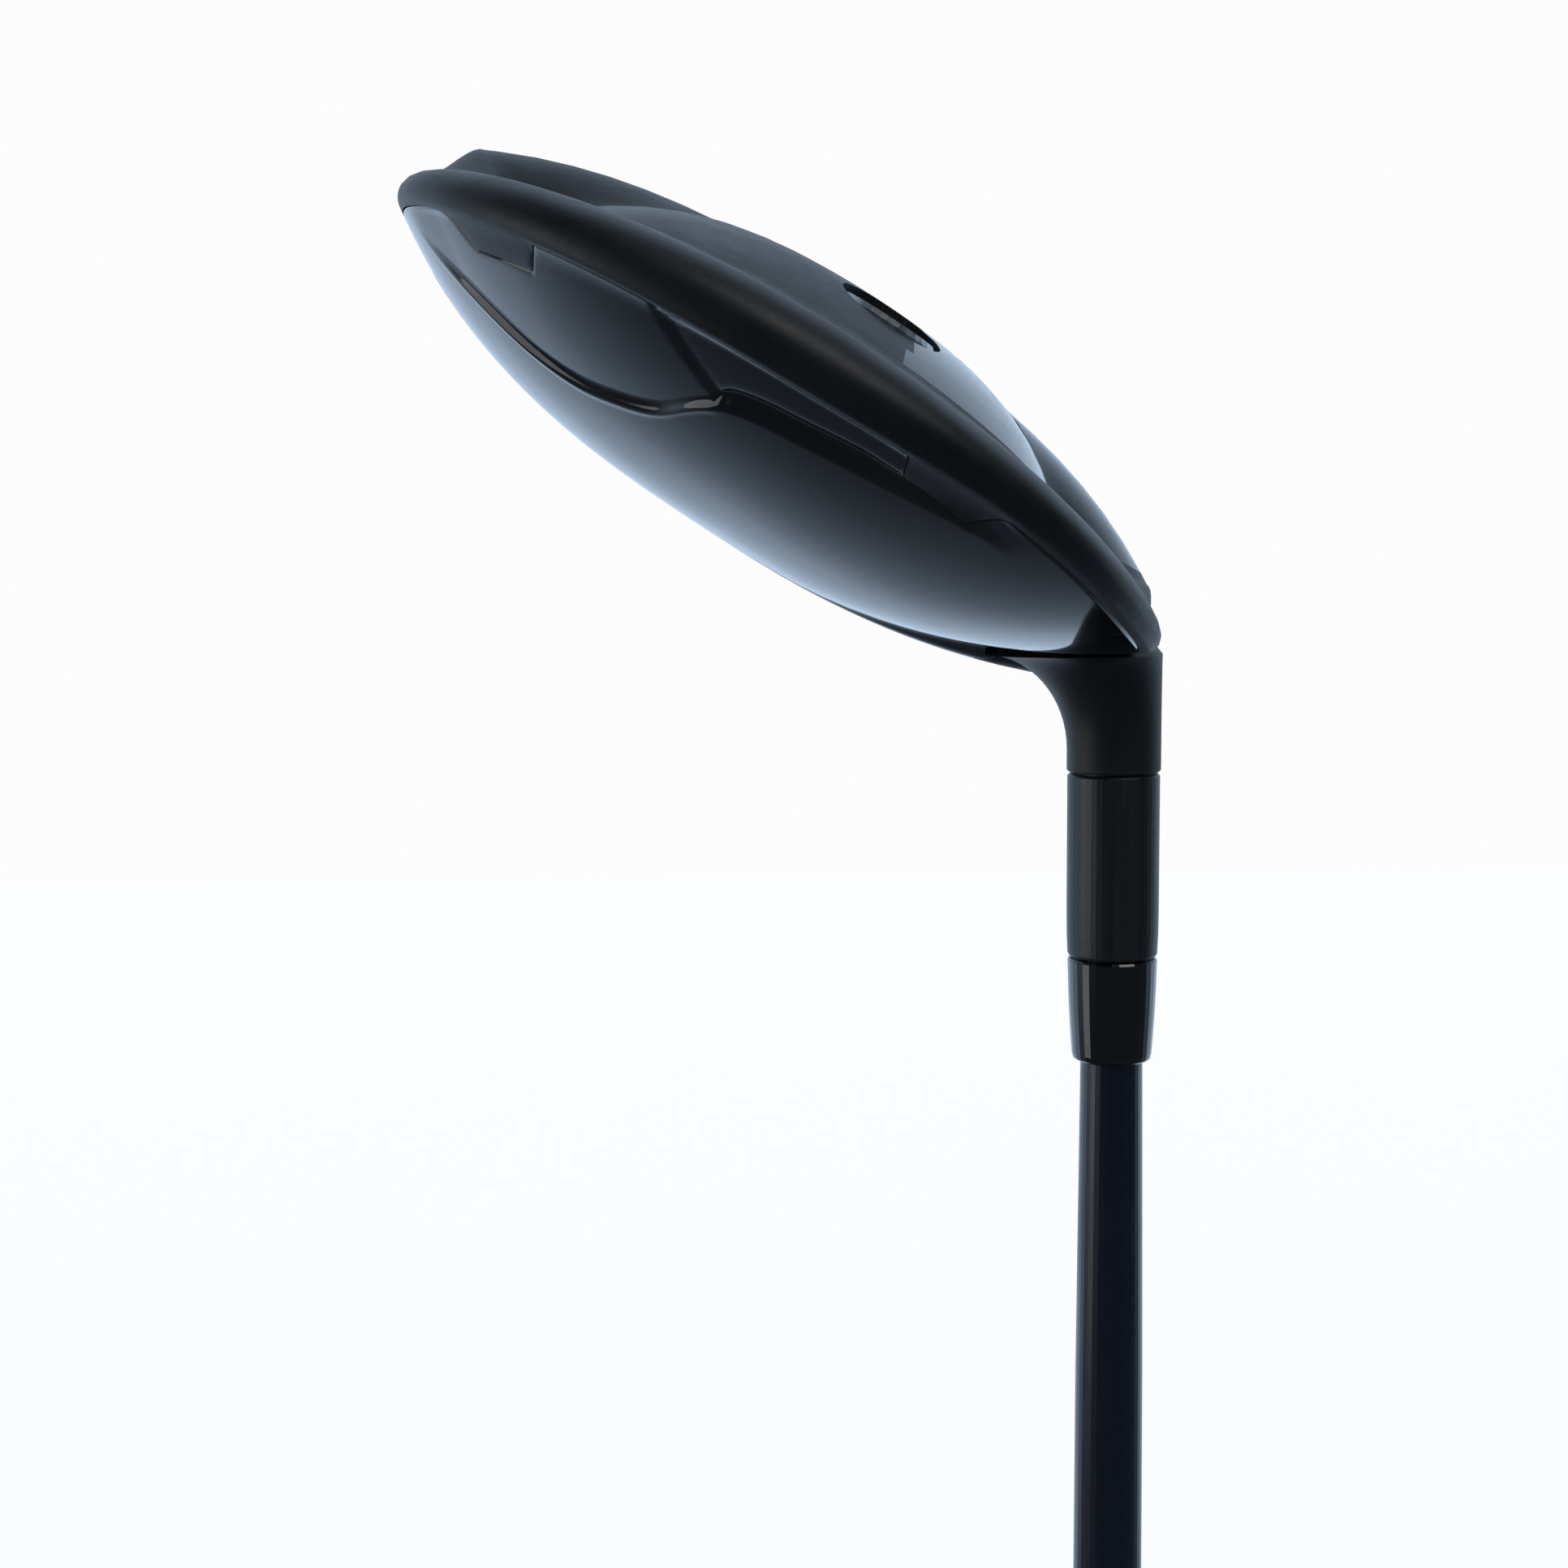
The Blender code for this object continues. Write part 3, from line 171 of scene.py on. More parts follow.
# ---------------------------------------------------------------- shaft
# A wound carbon fibre tube under navy paint with a satin clear coat. It is rolled on a mandrel,
# ground to its taper and sprayed, so it shows long faint grinding bands and fine metallic flake.
def effect(name, inputs, outputs):
    """An empty shader group with its sockets."""
    group = bpy.data.node_groups.new(name, "ShaderNodeTree")
    for label, kind, value in inputs:
        socket = group.interface.new_socket(label, in_out="INPUT", socket_type=kind)
        socket.default_value = value
    for label, kind in outputs:
        group.interface.new_socket(label, in_out="OUTPUT", socket_type=kind)
    return group, node(group, "NodeGroupInput"), node(group, "NodeGroupOutput")


FLOAT, VECTOR = "NodeSocketFloat", "NodeSocketVector"

# Slow cloudy change over a surface, between 0 and 1
CLOUDS, given, out = effect("clouds", [("Place", VECTOR, (0, 0, 0)), ("Scale", FLOAT, 40.0),
                                       ("Spread", FLOAT, 0.15)], [("Mask", FLOAT)])
noise = node(CLOUDS, "ShaderNodeTexNoise", {"Vector": given.outputs["Place"], "Scale": given.outputs["Scale"],
                                            "Detail": 5.0, "Roughness": 0.6})
low = node(CLOUDS, "ShaderNodeMath", {0: 0.5, 1: given.outputs["Spread"]}, operation="SUBTRACT")
high = node(CLOUDS, "ShaderNodeMath", {0: 0.5, 1: given.outputs["Spread"]}, operation="ADD")
spread = node(CLOUDS, "ShaderNodeMapRange", {"Value": noise.outputs["Fac"], "From Min": low.outputs[0],
                                             "From Max": high.outputs[0]})
CLOUDS.links.new(spread.outputs["Result"], out.inputs["Mask"])

# Fine parallel lines, drawn out along the axis that Stretch makes small
STREAKS, given, out = effect("streaks", [("Place", VECTOR, (0, 0, 0)), ("Stretch", VECTOR, (1, 1, 1)),
                                         ("Spread", FLOAT, 0.2)], [("Mask", FLOAT)])
drawn = node(STREAKS, "ShaderNodeVectorMath", {0: given.outputs["Place"], 1: given.outputs["Stretch"]},
             operation="MULTIPLY")
noise = node(STREAKS, "ShaderNodeTexNoise", {"Vector": drawn.outputs[0], "Scale": 1.0, "Detail": 4.0,
                                             "Roughness": 0.65})
low = node(STREAKS, "ShaderNodeMath", {0: 0.5, 1: given.outputs["Spread"]}, operation="SUBTRACT")
high = node(STREAKS, "ShaderNodeMath", {0: 0.5, 1: given.outputs["Spread"]}, operation="ADD")
spread = node(STREAKS, "ShaderNodeMapRange", {"Value": noise.outputs["Fac"], "From Min": low.outputs[0],
                                              "From Max": high.outputs[0]})
STREAKS.links.new(spread.outputs["Result"], out.inputs["Mask"])

# Small specks of dust or flake, gathered in patches
SPECKS, given, out = effect("specks", [("Place", VECTOR, (0, 0, 0)), ("Scale", FLOAT, 1500.0),
                                       ("Size", FLOAT, 0.16), ("Patches", FLOAT, 90.0),
                                       ("Cover", FLOAT, 0.6)], [("Mask", FLOAT)])
cells = node(SPECKS, "ShaderNodeTexVoronoi", {"Vector": given.outputs["Place"],
                                              "Scale": given.outputs["Scale"]})
dot = node(SPECKS, "ShaderNodeMath", {0: cells.outputs["Distance"], 1: given.outputs["Size"]},
           operation="LESS_THAN")
noise = node(SPECKS, "ShaderNodeTexNoise", {"Vector": given.outputs["Place"],
                                            "Scale": given.outputs["Patches"], "Detail": 2.0})
patch = node(SPECKS, "ShaderNodeMath", {0: noise.outputs["Fac"], 1: given.outputs["Cover"]},
             operation="GREATER_THAN")
both = node(SPECKS, "ShaderNodeMath", {0: dot.outputs[0], 1: patch.outputs[0]}, operation="MULTIPLY")
SPECKS.links.new(both.outputs[0], out.inputs["Mask"])

# Lighter marks on corners that stand out, broken up by a grain: wear on corners, and on the matte casting
# partly a painted highlight along its rounded edges
EDGE_LIGHTENING, given, out = effect("edge_lightening", [("Place", VECTOR, (0, 0, 0)), ("Start", FLOAT, 0.53),
                                          ("Scale", FLOAT, 600.0)], [("Mask", FLOAT)])
shape = node(EDGE_LIGHTENING, "ShaderNodeNewGeometry")
end = node(EDGE_LIGHTENING, "ShaderNodeMath", {0: given.outputs["Start"], 1: 0.08}, operation="ADD")
corner = node(EDGE_LIGHTENING, "ShaderNodeMapRange", {"Value": shape.outputs["Pointiness"],
                                           "From Min": given.outputs["Start"], "From Max": end.outputs[0]})
noise = node(EDGE_LIGHTENING, "ShaderNodeTexNoise", {"Vector": given.outputs["Place"], "Scale": given.outputs["Scale"],
                                          "Detail": 3.0})
grain = node(EDGE_LIGHTENING, "ShaderNodeMapRange", {"Value": noise.outputs["Fac"], "From Min": 0.35, "From Max": 0.6})
both = node(EDGE_LIGHTENING, "ShaderNodeMath", {0: corner.outputs["Result"], 1: grain.outputs["Result"]},
            operation="MULTIPLY")
EDGE_LIGHTENING.links.new(both.outputs[0], out.inputs["Mask"])

# Turning marks round an axis: rings by distance from the line through Pivot along Axis
TURNED, given, out = effect("turning_marks", [("Place", VECTOR, (0, 0, 0)), ("Pivot", VECTOR, (0, 0, 0)),
                                              ("Axis", VECTOR, (0, 0, 1)), ("Pitch", FLOAT, 0.00012)],
                            [("Mask", FLOAT)])
arm = node(TURNED, "ShaderNodeVectorMath", {0: given.outputs["Place"], 1: given.outputs["Pivot"]},
           operation="SUBTRACT")
across = node(TURNED, "ShaderNodeVectorMath", {0: arm.outputs[0], 1: given.outputs["Axis"]},
              operation="CROSS_PRODUCT")
radius = node(TURNED, "ShaderNodeVectorMath", {0: across.outputs[0]}, operation="LENGTH")
along = node(TURNED, "ShaderNodeVectorMath", {0: arm.outputs[0], 1: given.outputs["Axis"]},
             operation="DOT_PRODUCT")
total = node(TURNED, "ShaderNodeMath", {0: radius.outputs["Value"], 1: along.outputs["Value"]},
             operation="ADD")
rings = node(TURNED, "ShaderNodeMath", {0: total.outputs[0], 1: given.outputs["Pitch"]}, operation="DIVIDE")
wave = node(TURNED, "ShaderNodeMath", {0: rings.outputs[0]}, operation="SINE")
half = node(TURNED, "ShaderNodeMapRange", {"Value": wave.outputs[0], "From Min": -1.0, "From Max": 1.0})
TURNED.links.new(half.outputs["Result"], out.inputs["Mask"])


def placed(tree, group, **values):
    """A group in a material, with object coordinates as its place. Returns its mask."""
    made = node(tree, "ShaderNodeGroup", node_tree=group)
    coords = node(tree, "ShaderNodeTexCoord")
    tree.links.new(coords.outputs["Object"], made.inputs["Place"])
    for key, value in values.items():
        made.inputs[key].default_value = value
    return made.outputs["Mask"]


def blended(tree, mask, a, b):
    """Colour or number that goes from a to b with the mask."""
    colour = not isinstance(b, (int, float))
    mix = node(tree, "ShaderNodeMix", {"Factor": mask}, data_type="RGBA" if colour else "FLOAT")
    chosen = [s for s in mix.inputs if s.enabled]
    for socket, value in zip(chosen[1:], (a, b)):
        if isinstance(value, bpy.types.NodeSocket):
            tree.links.new(value, socket)
        else:
            socket.default_value = (*value, 1.0) if colour else value
    return [s for s in mix.outputs if s.enabled][0]


def summed(tree, *values):
    total = values[0]
    for value in values[1:]:
        total = node(tree, "ShaderNodeMath", {0: total, 1: value}, operation="ADD").outputs[0]
    return total


def finish_surface(tree, shader, colour, roughness, height=None, depth=0.00002):
    tree.links.new(colour, shader.inputs["Base Color"])
    tree.links.new(roughness, shader.inputs["Roughness"])
    if height is not None:
        bump = node(tree, "ShaderNodeBump", {"Height": height, "Distance": depth, "Strength": 1.0})
        tree.links.new(bump.outputs["Normal"], shader.inputs["Normal"])


def dress(name, mat):
    """Give a CAD node its finished material."""
    target = frame["nodes"][name]
    for slot in target.material_slots:
        slot.material = mat


mat, tree, shader = bare_material("navy_shaft_paint")
bands = placed(tree, STREAKS, Stretch=(900.0, 900.0, 14.0), Spread=0.22)
flake = placed(tree, SPECKS, Scale=9000.0, Size=0.22, Patches=700.0, Cover=0.5)
clouds = placed(tree, CLOUDS, Scale=60.0, Spread=0.2)
scuffs = placed(tree, SPECKS, Scale=2600.0, Size=0.14, Patches=60.0, Cover=0.66)
colour = blended(tree, bands, (0.0011, 0.0052, 0.0170), (0.0017, 0.0078, 0.0245))
colour = blended(tree, scaled(tree, flake, 0.35), colour, (0.006, 0.022, 0.060))
colour = blended(tree, scaled(tree, scuffs, 0.5), colour, (0.05, 0.06, 0.075))
rough = blended(tree, clouds, 0.26, 0.40)
finish_surface(tree, shader, colour, rough, summed(tree, scaled(tree, bands, 0.5), flake), 0.000008)
shader.inputs["Coat Weight"].default_value = 0.35
shader.inputs["Coat Roughness"].default_value = 0.18
dress("shaft", mat)


# ---------------------------------------------------------------- ferrule
# The moulded black cap that finishes the joint of shaft and sleeve. It is turned down on the shaft
# and polished with acetone, so it is glossy with faint turning rings.
mat, tree, shader = bare_material("polished_ferrule")
rings = placed(tree, TURNED, Pitch=0.00009)
clouds = placed(tree, CLOUDS, Scale=160.0, Spread=0.2)
hairs = placed(tree, STREAKS, Stretch=(700.0, 700.0, 5200.0), Spread=0.05)
dust = placed(tree, SPECKS, Scale=3200.0, Size=0.12, Patches=160.0, Cover=0.58)
colour = blended(tree, clouds, (0.0020, 0.0022, 0.0026), (0.0034, 0.0038, 0.0046))
colour = blended(tree, scaled(tree, dust, 0.5), colour, (0.10, 0.11, 0.12))
rough = summed(tree, blended(tree, clouds, 0.07, 0.12), scaled(tree, hairs, 0.03), scaled(tree, dust, 0.3))
finish_surface(tree, shader, colour, rough, summed(tree, rings, scaled(tree, hairs, 0.6)), 0.0000012)
shader.inputs["Coat Weight"].default_value = 0.5
shader.inputs["Coat Roughness"].default_value = 0.05
dress("ferrule", mat)


# ---------------------------------------------------------------- adapter sleeve
# The loft adapter glued to the shaft's tip: turned aluminium with splines at its hidden end,
# polished lengthwise and anodised grey. Its broad lighter and darker streaks along the axis are painted
# reflection streaks in the colour, over real polish lines.
mat, tree, shader = bare_material("anodised_sleeve")
fine = placed(tree, STREAKS, Stretch=(2600.0, 2600.0, 30.0), Spread=0.25)
polish_bands_and_painted_streaks = placed(tree, STREAKS, Stretch=(330.0, 330.0, 7.0), Spread=0.16)
marks = placed(tree, SPECKS, Scale=1900.0, Size=0.13, Patches=170.0, Cover=0.63)
# Broad streaks: painted reflection streaks along the sleeve, partly polish bands.
colour = blended(tree, polish_bands_and_painted_streaks, (0.026, 0.028, 0.030), (0.062, 0.065, 0.068))
colour = blended(tree, scaled(tree, fine, 0.5), colour, (0.075, 0.079, 0.082))
colour = blended(tree, scaled(tree, marks, 0.5), colour, (0.30, 0.31, 0.32))
rough = summed(tree, blended(tree, fine, 0.30, 0.44), scaled(tree, polish_bands_and_painted_streaks, 0.06))
finish_surface(tree, shader, colour, rough, summed(tree, fine, scaled(tree, polish_bands_and_painted_streaks, 0.6)), 0.0000045)
shader.inputs["Metallic"].default_value = 0.75
dress("adapter_sleeve", mat)


# ---------------------------------------------------------------- grip and grip tape
# A moulded rubber grip pulled over paper tape and solvent. Its mould cuts rows of small diamonds
# between plain bands, and the rubber itself has a fine tooth.
mat, tree, shader = bare_material("grip_rubber")
coords = node(tree, "ShaderNodeTexCoord")
parts = node(tree, "ShaderNodeSeparateXYZ", {"Vector": coords.outputs["Object"]})
turn = node(tree, "ShaderNodeMath", {0: parts.outputs["Y"], 1: parts.outputs["X"]}, operation="ARCTAN2")
DIAMONDS_ROUND = 14
DIAMOND_LENGTH = 5.2 * MM
rise = scaled(tree, parts.outputs["Z"], 2 * math.pi / DIAMOND_LENGTH)
left = node(tree, "ShaderNodeMath", {0: summed(tree, scaled(tree, turn.outputs[0], DIAMONDS_ROUND), rise)},
            operation="SINE")
right = node(tree, "ShaderNodeMath", {0: node(tree, "ShaderNodeMath", {
    0: scaled(tree, turn.outputs[0], DIAMONDS_ROUND), 1: rise}, operation="SUBTRACT").outputs[0]},
    operation="SINE")
cross = node(tree, "ShaderNodeMath", {0: left.outputs[0], 1: right.outputs[0]}, operation="MULTIPLY")
diamond = node(tree, "ShaderNodeMapRange", {"Value": cross.outputs[0], "From Min": 0.12, "From Max": 0.5})
BAND_LENGTH = 46 * MM
band = node(tree, "ShaderNodeMath", {0: scaled(tree, parts.outputs["Z"], 2 * math.pi / BAND_LENGTH)},
            operation="SINE")
field = node(tree, "ShaderNodeMapRange", {"Value": band.outputs[0], "From Min": -0.78, "From Max": -0.70})
cut = node(tree, "ShaderNodeMath", {0: diamond.outputs["Result"], 1: field.outputs["Result"]},
           operation="MULTIPLY").outputs[0]
tooth = placed(tree, CLOUDS, Scale=2600.0, Spread=0.2)
handled = placed(tree, CLOUDS, Scale=22.0, Spread=0.12)
dust = placed(tree, SPECKS, Scale=1500.0, Size=0.14, Patches=60.0, Cover=0.58)
# The cut diamonds are coloured darker than the plain rubber: painted shade in the recessed cuts.
colour = blended(tree, cut, (0.014, 0.0145, 0.016), (0.006, 0.0062, 0.007))
colour = blended(tree, scaled(tree, handled, 0.5), colour, (0.022, 0.022, 0.023))
colour = blended(tree, scaled(tree, dust, 0.4), colour, (0.12, 0.115, 0.105))
rough = blended(tree, handled, 0.62, 0.85)
height = node(tree, "ShaderNodeMath", {0: scaled(tree, tooth, 0.12), 1: cut}, operation="SUBTRACT").outputs[0]
finish_surface(tree, shader, colour, rough, height, 0.0005)
dress("grip", mat)

mat, tree, shader = bare_material("paper_tape")
fibre = placed(tree, STREAKS, Stretch=(900.0, 900.0, 260.0), Spread=0.2)
stain = placed(tree, CLOUDS, Scale=50.0, Spread=0.2)
colour = blended(tree, fibre, (0.62, 0.56, 0.42), (0.72, 0.67, 0.54))
colour = blended(tree, scaled(tree, stain, 0.3), colour, (0.48, 0.40, 0.27))
finish_surface(tree, shader, colour, blended(tree, stain, 0.7, 0.9), fibre, 0.00006)
dress("grip_tape", mat)


# ---------------------------------------------------------------- head casting
# A cast steel body: flat sole, tucked skirt, flared neck, and a ledge that carries the crown. It is
# ground and sprayed matte black; its sole is glossy near the heel. Two tabs reach on to the crown.
CLUB_LENGTH = 1092.0 * MM
LIE = math.radians(57.0)
LOFT = math.radians(15.0)
GAP = 0.3 * MM
PLAN_T, PLAN_B = 40.0 * MM, 14.0 * MM
TOE_REACH, HEEL_REACH, REAR_REACH, FRONT_REACH = 58.2 * MM, 53.2 * MM, 54.0 * MM, 30.0 * MM
REAR_ROUNDNESS, FRONT_ROUNDNESS = 2.15, 4.2
CROWN_TOP, FACE_TOP = 35.0 * MM, 32.5 * MM
FACE_DROP, FACE_SPREAD, FACE_CENTRE_T = (6.0 * MM, 6.0 * MM), 50.0 * MM, 43.0 * MM
LEADING_EDGE, SOLE_RISE_FRONT, SOLE_RISE_CORNERS = 5.0 * MM, 1.0 * MM, (4.8 * MM, 4.6 * MM)
SOLE_EDGE_FRONT, SOLE_BLEND = 0.95, (2.0 * MM, 26.0 * MM)
SKIRT_TUCK, CROWN_FULLNESS = 0.9 * MM, (3.0, 2.15, 2.25)
RIM_HEIGHT = (22.0 * MM, 20.5 * MM, 18.0 * MM, 16.8 * MM, 16.0 * MM, 17.8 * MM, 18.2 * MM)
SOLE_RISE, SOLE_EDGE, SKIRT_BELLY = (14.0 * MM, 8.8 * MM, 12.0 * MM), (0.72, 0.84, 0.64), (0.92, 0.82, 0.92)
SEAM_INSET, SEAM_INSET_FRONT, TAB_INSET, HOSEL_INSET = 0.8 * MM, 9.0 * MM, 4.6 * MM, 12.0 * MM
TOE_TAB, HEEL_TAB, HOSEL_TAB = (31.0, 37.5, 48.0, 50.5), (102.0, 105.0, 115.0, 118.0), (188, 193, 208, 216)
CREASE = ((17.5, 2.5), (30.0, 10.0), (40.0, 15.5), (49.5, 17.8), (58.0, 17.4), (67.5, 15.2), (78.5, 8.8),
          (92.5, 6.6), (104.5, 5.6), (118.0, 4.0))
CREASE_WIDTH, CREASE_DROP = 1.6 * MM, 0.7 * MM
WALL, CROWN_WALL, LEDGE_WIDTH, LEDGE_WALL, LEDGE_FALL = 1.2 * MM, 1.0 * MM, 4.0 * MM, 1.0 * MM, 0.4 * MM
NECK_END, NECK_RADIUS = CLUB_LENGTH - 39.0 * MM, 6.45 * MM
FLARE_START, FLARE_LENGTH, FLARE_REACH = 3.0 * MM, 13.2 * MM, 11.6 * MM


def ease(x):
    x = np.clip(x, 0.0, 1.0)
    return x * x * (3 - 2 * x)


def to_row(points):
    p = np.asarray(points, float)
    t, b, u = p[..., 0], p[..., 1], p[..., 2]
    return np.stack([t * math.sin(LIE) + u * math.cos(LIE), b,
                     CLUB_LENGTH + t * math.cos(LIE) - u * math.sin(LIE)], -1)


def columns(step, spans, fine):
    """Angles round the plan centre, closer together inside the given spans of degrees."""
    angles = list(np.arange(0.0, 360.0, step))
    angles = [d for d in angles if not any(lo <= d <= hi for lo, hi in spans)]
    for lo, hi in spans:
        angles += list(np.linspace(lo, hi, int(round((hi - lo) / fine)) + 1))
    return np.radians(np.array(sorted(angles)))


def plan_radius(a):
    c, s = np.cos(a), np.sin(a)
    side = np.where(c > 0, TOE_REACH, HEEL_REACH)
    depth = np.where(s > 0, REAR_REACH, FRONT_REACH)
    n = np.where(s > 0, REAR_ROUNDNESS, FRONT_ROUNDNESS)
    return (np.abs(c / side) ** n + np.abs(s / depth) ** n) ** (-1.0 / n)


def plan_point(a, share=1.0):
    r = plan_radius(a) * share
    return PLAN_T + r * np.cos(a), PLAN_B + r * np.sin(a)


def face_share(a):
    return ease((1.0 * MM - plan_point(a)[1]) / (12.0 * MM))


def by_side(a, values):
    toe, rear, heel = values
    c = np.cos(a)
    return rear + np.where(c > 0, toe - rear, heel - rear) * c * c


def by_station(a, values):
    turn = np.abs((np.degrees(a) + 90) % 360 - 90)
    turn = np.where(turn > 180, 180.0, np.where(np.degrees(a) > 270, 0.0, turn))
    station = turn / 180 * (len(values) - 1)
    low = np.clip(np.floor(station).astype(int), 0, len(values) - 2)
    v = np.array((values[0],) + tuple(values) + (values[-1],))
    p0, p1, p2, p3 = v[low], v[low + 1], v[low + 2], v[low + 3]
    x = station - low
    return p1 + 0.5 * x * (p2 - p0 + x * (2 * p0 - 5 * p1 + 4 * p2 - p3 + x * (3 * (p1 - p2) + p3 - p0)))


def rim_height(a):
    across = (plan_point(a)[0] - FACE_CENTRE_T) / FACE_SPREAD
    front = FACE_TOP - np.where(across > 0, FACE_DROP[0], FACE_DROP[1]) * across ** 2
    f = face_share(a)
    return by_station(a, RIM_HEIGHT) * (1 - f) + front * f


def outer_point(a, share, u, wall=0.0):
    t, b = plan_point(a, share * (1 - wall / plan_radius(a)))
    lean = np.maximum(u - LEADING_EDGE, 0.0) * math.tan(LOFT) * face_share(a)
    return np.stack([t, b + lean, u + 0 * t], -1)


def skirt_rings(a, wall=0.0, sole=12, edge_steps=10, side_steps=8):
    """Rings from the sole centre to the rim; the first sole rings lie on the sole."""
    f = face_share(a)
    across = (plan_point(a)[0] - FACE_CENTRE_T) / FACE_SPREAD
    corner = np.where(across > 0, SOLE_RISE_CORNERS[0], SOLE_RISE_CORNERS[1])
    front_rise = SOLE_RISE_FRONT + corner * np.abs(across) ** 5
    g = ease((SOLE_BLEND[1] - plan_point(a)[1]) / (SOLE_BLEND[1] - SOLE_BLEND[0]))
    rise = by_side(a, SOLE_RISE) * (1 - g) + front_rise * g + wall
    edge = by_side(a, SOLE_EDGE) * (1 - g) + SOLE_EDGE_FRONT * g
    rim = rim_height(a)
    belly = rim * by_side(a, SKIRT_BELLY) * (1 - f) + (LEADING_EDGE + front_rise + wall) * f
    tuck = SKIRT_TUCK / plan_radius(a) * (1 - f)
    rings = []
    for share in np.linspace(0.0, 0.97, sole):
        rings.append(outer_point(a, edge * share, (rise - wall) * share ** 3 + wall, wall))
    for turn in np.linspace(0.0, math.pi / 2, edge_steps):
        share = edge + (1 - edge) * math.sin(turn)
        rings.append(outer_point(a, share, rise + (belly - rise) * (1 - math.cos(turn)), wall))
    for turn in np.linspace(0.0, math.pi / 3, side_steps + 1)[1:]:
        share = 1 - tuck * (1 - math.cos(turn)) * 2
        level = belly + (rim - belly) * math.sin(turn) / math.sin(math.pi / 3)
        rings.append(outer_point(a, share, level, wall))
    return rings


def tab_share(a, tab):
    deg = np.degrees(a)
    return ease((deg - tab[0]) / (tab[1] - tab[0])) * ease((tab[3] - deg) / (tab[3] - tab[2]))


def seam_inset(a):
    inset = SEAM_INSET + (SEAM_INSET_FRONT - SEAM_INSET) * face_share(a)
    for tab in (TOE_TAB, HEEL_TAB):
        inset = inset + tab_share(a, tab) * (TAB_INSET - SEAM_INSET)
    hosel = tab_share(a, HOSEL_TAB)
    return inset * (1 - hosel) + HOSEL_INSET * hosel


def through(x, points):
    """Smooth curve through a few points, held level beyond its ends."""
    xs, ys = np.array(points).T
    slope = np.gradient(ys, xs)
    k = np.clip(np.searchsorted(xs, x) - 1, 0, len(xs) - 2)
    h = xs[k + 1] - xs[k]
    s = np.clip((x - xs[k]) / h, 0.0, 1.0)
    rise = (s ** 3 - 2 * s ** 2 + s) * h * slope[k] + (s ** 3 - s ** 2) * h * slope[k + 1]
    return ys[k] + (3 * s ** 2 - 2 * s ** 3) * (ys[k + 1] - ys[k]) + rise


def crease_inset(a):
    deg = np.degrees(a)
    inset = through(deg, CREASE) * MM
    return inset, ease((deg - CREASE[0][0]) / 12) * ease((CREASE[-1][0] + 6 - deg) / 10)


def crown_point(a, inset, detail=True):
    """A point of the crown, a given distance inside the rim along its radius."""
    rim = skirt_rings(a, sole=2, edge_steps=2, side_steps=1)[-1]
    centre = np.array((PLAN_T, PLAN_B, CROWN_TOP))
    span = np.hypot(rim[:, 0] - PLAN_T, rim[:, 1] - PLAN_B)
    share = np.clip(1 - inset / span, 0.0, 1.0)[:, None]
    p = centre + (rim - centre) * share
    p[:, 2] = CROWN_TOP - (CROWN_TOP - rim[:, 2]) * share[:, 0] ** by_side(a, CROWN_FULLNESS)
    if detail:
        crease, strong = crease_inset(a)
        beyond = (crease - inset) / CREASE_WIDTH + 0.5
        p[:, 2] -= CREASE_DROP * strong * ease(beyond) * ease(inset / (2 * MM))
    return p


def skin(name, rings, mats, ring_slots=()):
    """Skin a stack of equal rings into a closed mesh; ring_slots gives each band its material."""
    bm = bmesh.new()
    loops = [[bm.verts.new(tuple(p)) for p in ring] for ring in rings]
    for k, (low, high) in enumerate(zip(loops[:-1], loops[1:])):
        count = max(len(low), len(high))
        for i in range(count):
            j = (i + 1) % count
            if len(low) == 1:
                made = bm.faces.new((low[0], high[j], high[i]))
            elif len(high) == 1:
                made = bm.faces.new((low[i], low[j], high[0]))
            else:
                made = bm.faces.new((low[i], low[j], high[j], high[i]))
            made.material_index = ring_slots[k] if k < len(ring_slots) else 0
    bmesh.ops.recalc_face_normals(bm, faces=bm.faces)
    if bm.calc_volume(signed=True) < 0:
        bmesh.ops.reverse_faces(bm, faces=bm.faces)
    mesh = bpy.data.meshes.new(name)
    bm.to_mesh(mesh)
    bm.free()
    ob = bpy.data.objects.new(name, mesh)
    bpy.context.scene.collection.objects.link(ob)
    for mat in mats:
        mesh.materials.append(mat)
    return ob


def circle(radius, z, count, shift=0.0):
    if radius <= 0:
        return [(shift, 0.0, z)]
    angles = [2 * math.pi * i / count for i in range(count)]
    return [(shift + radius * math.cos(a), radius * math.sin(a), z) for a in angles]


def turned_solid(name, profile, count=64):
    return skin(name, [circle(r, z, count) for r, z in profile], [])


def combine(target, cutter, operation="DIFFERENCE"):
    """Cut or join with a cutter, then remove it."""
    mod = target.modifiers.new(operation.title(), "BOOLEAN")
    mod.operation = operation
    mod.solver = "EXACT"
    mod.object = cutter
    bpy.context.view_layer.update()
    mesh = bpy.data.meshes.new_from_object(target.evaluated_get(bpy.context.evaluated_depsgraph_get()))
    target.modifiers.remove(mod)
    old, target.data = target.data, mesh
    bpy.data.meshes.remove(old)
    bpy.data.objects.remove(cutter, do_unlink=True)


def tidy_normals(ob, angle=32.0):
    ob.data.shade_smooth()
    ob.data.set_sharp_from_angle(angle=math.radians(angle))


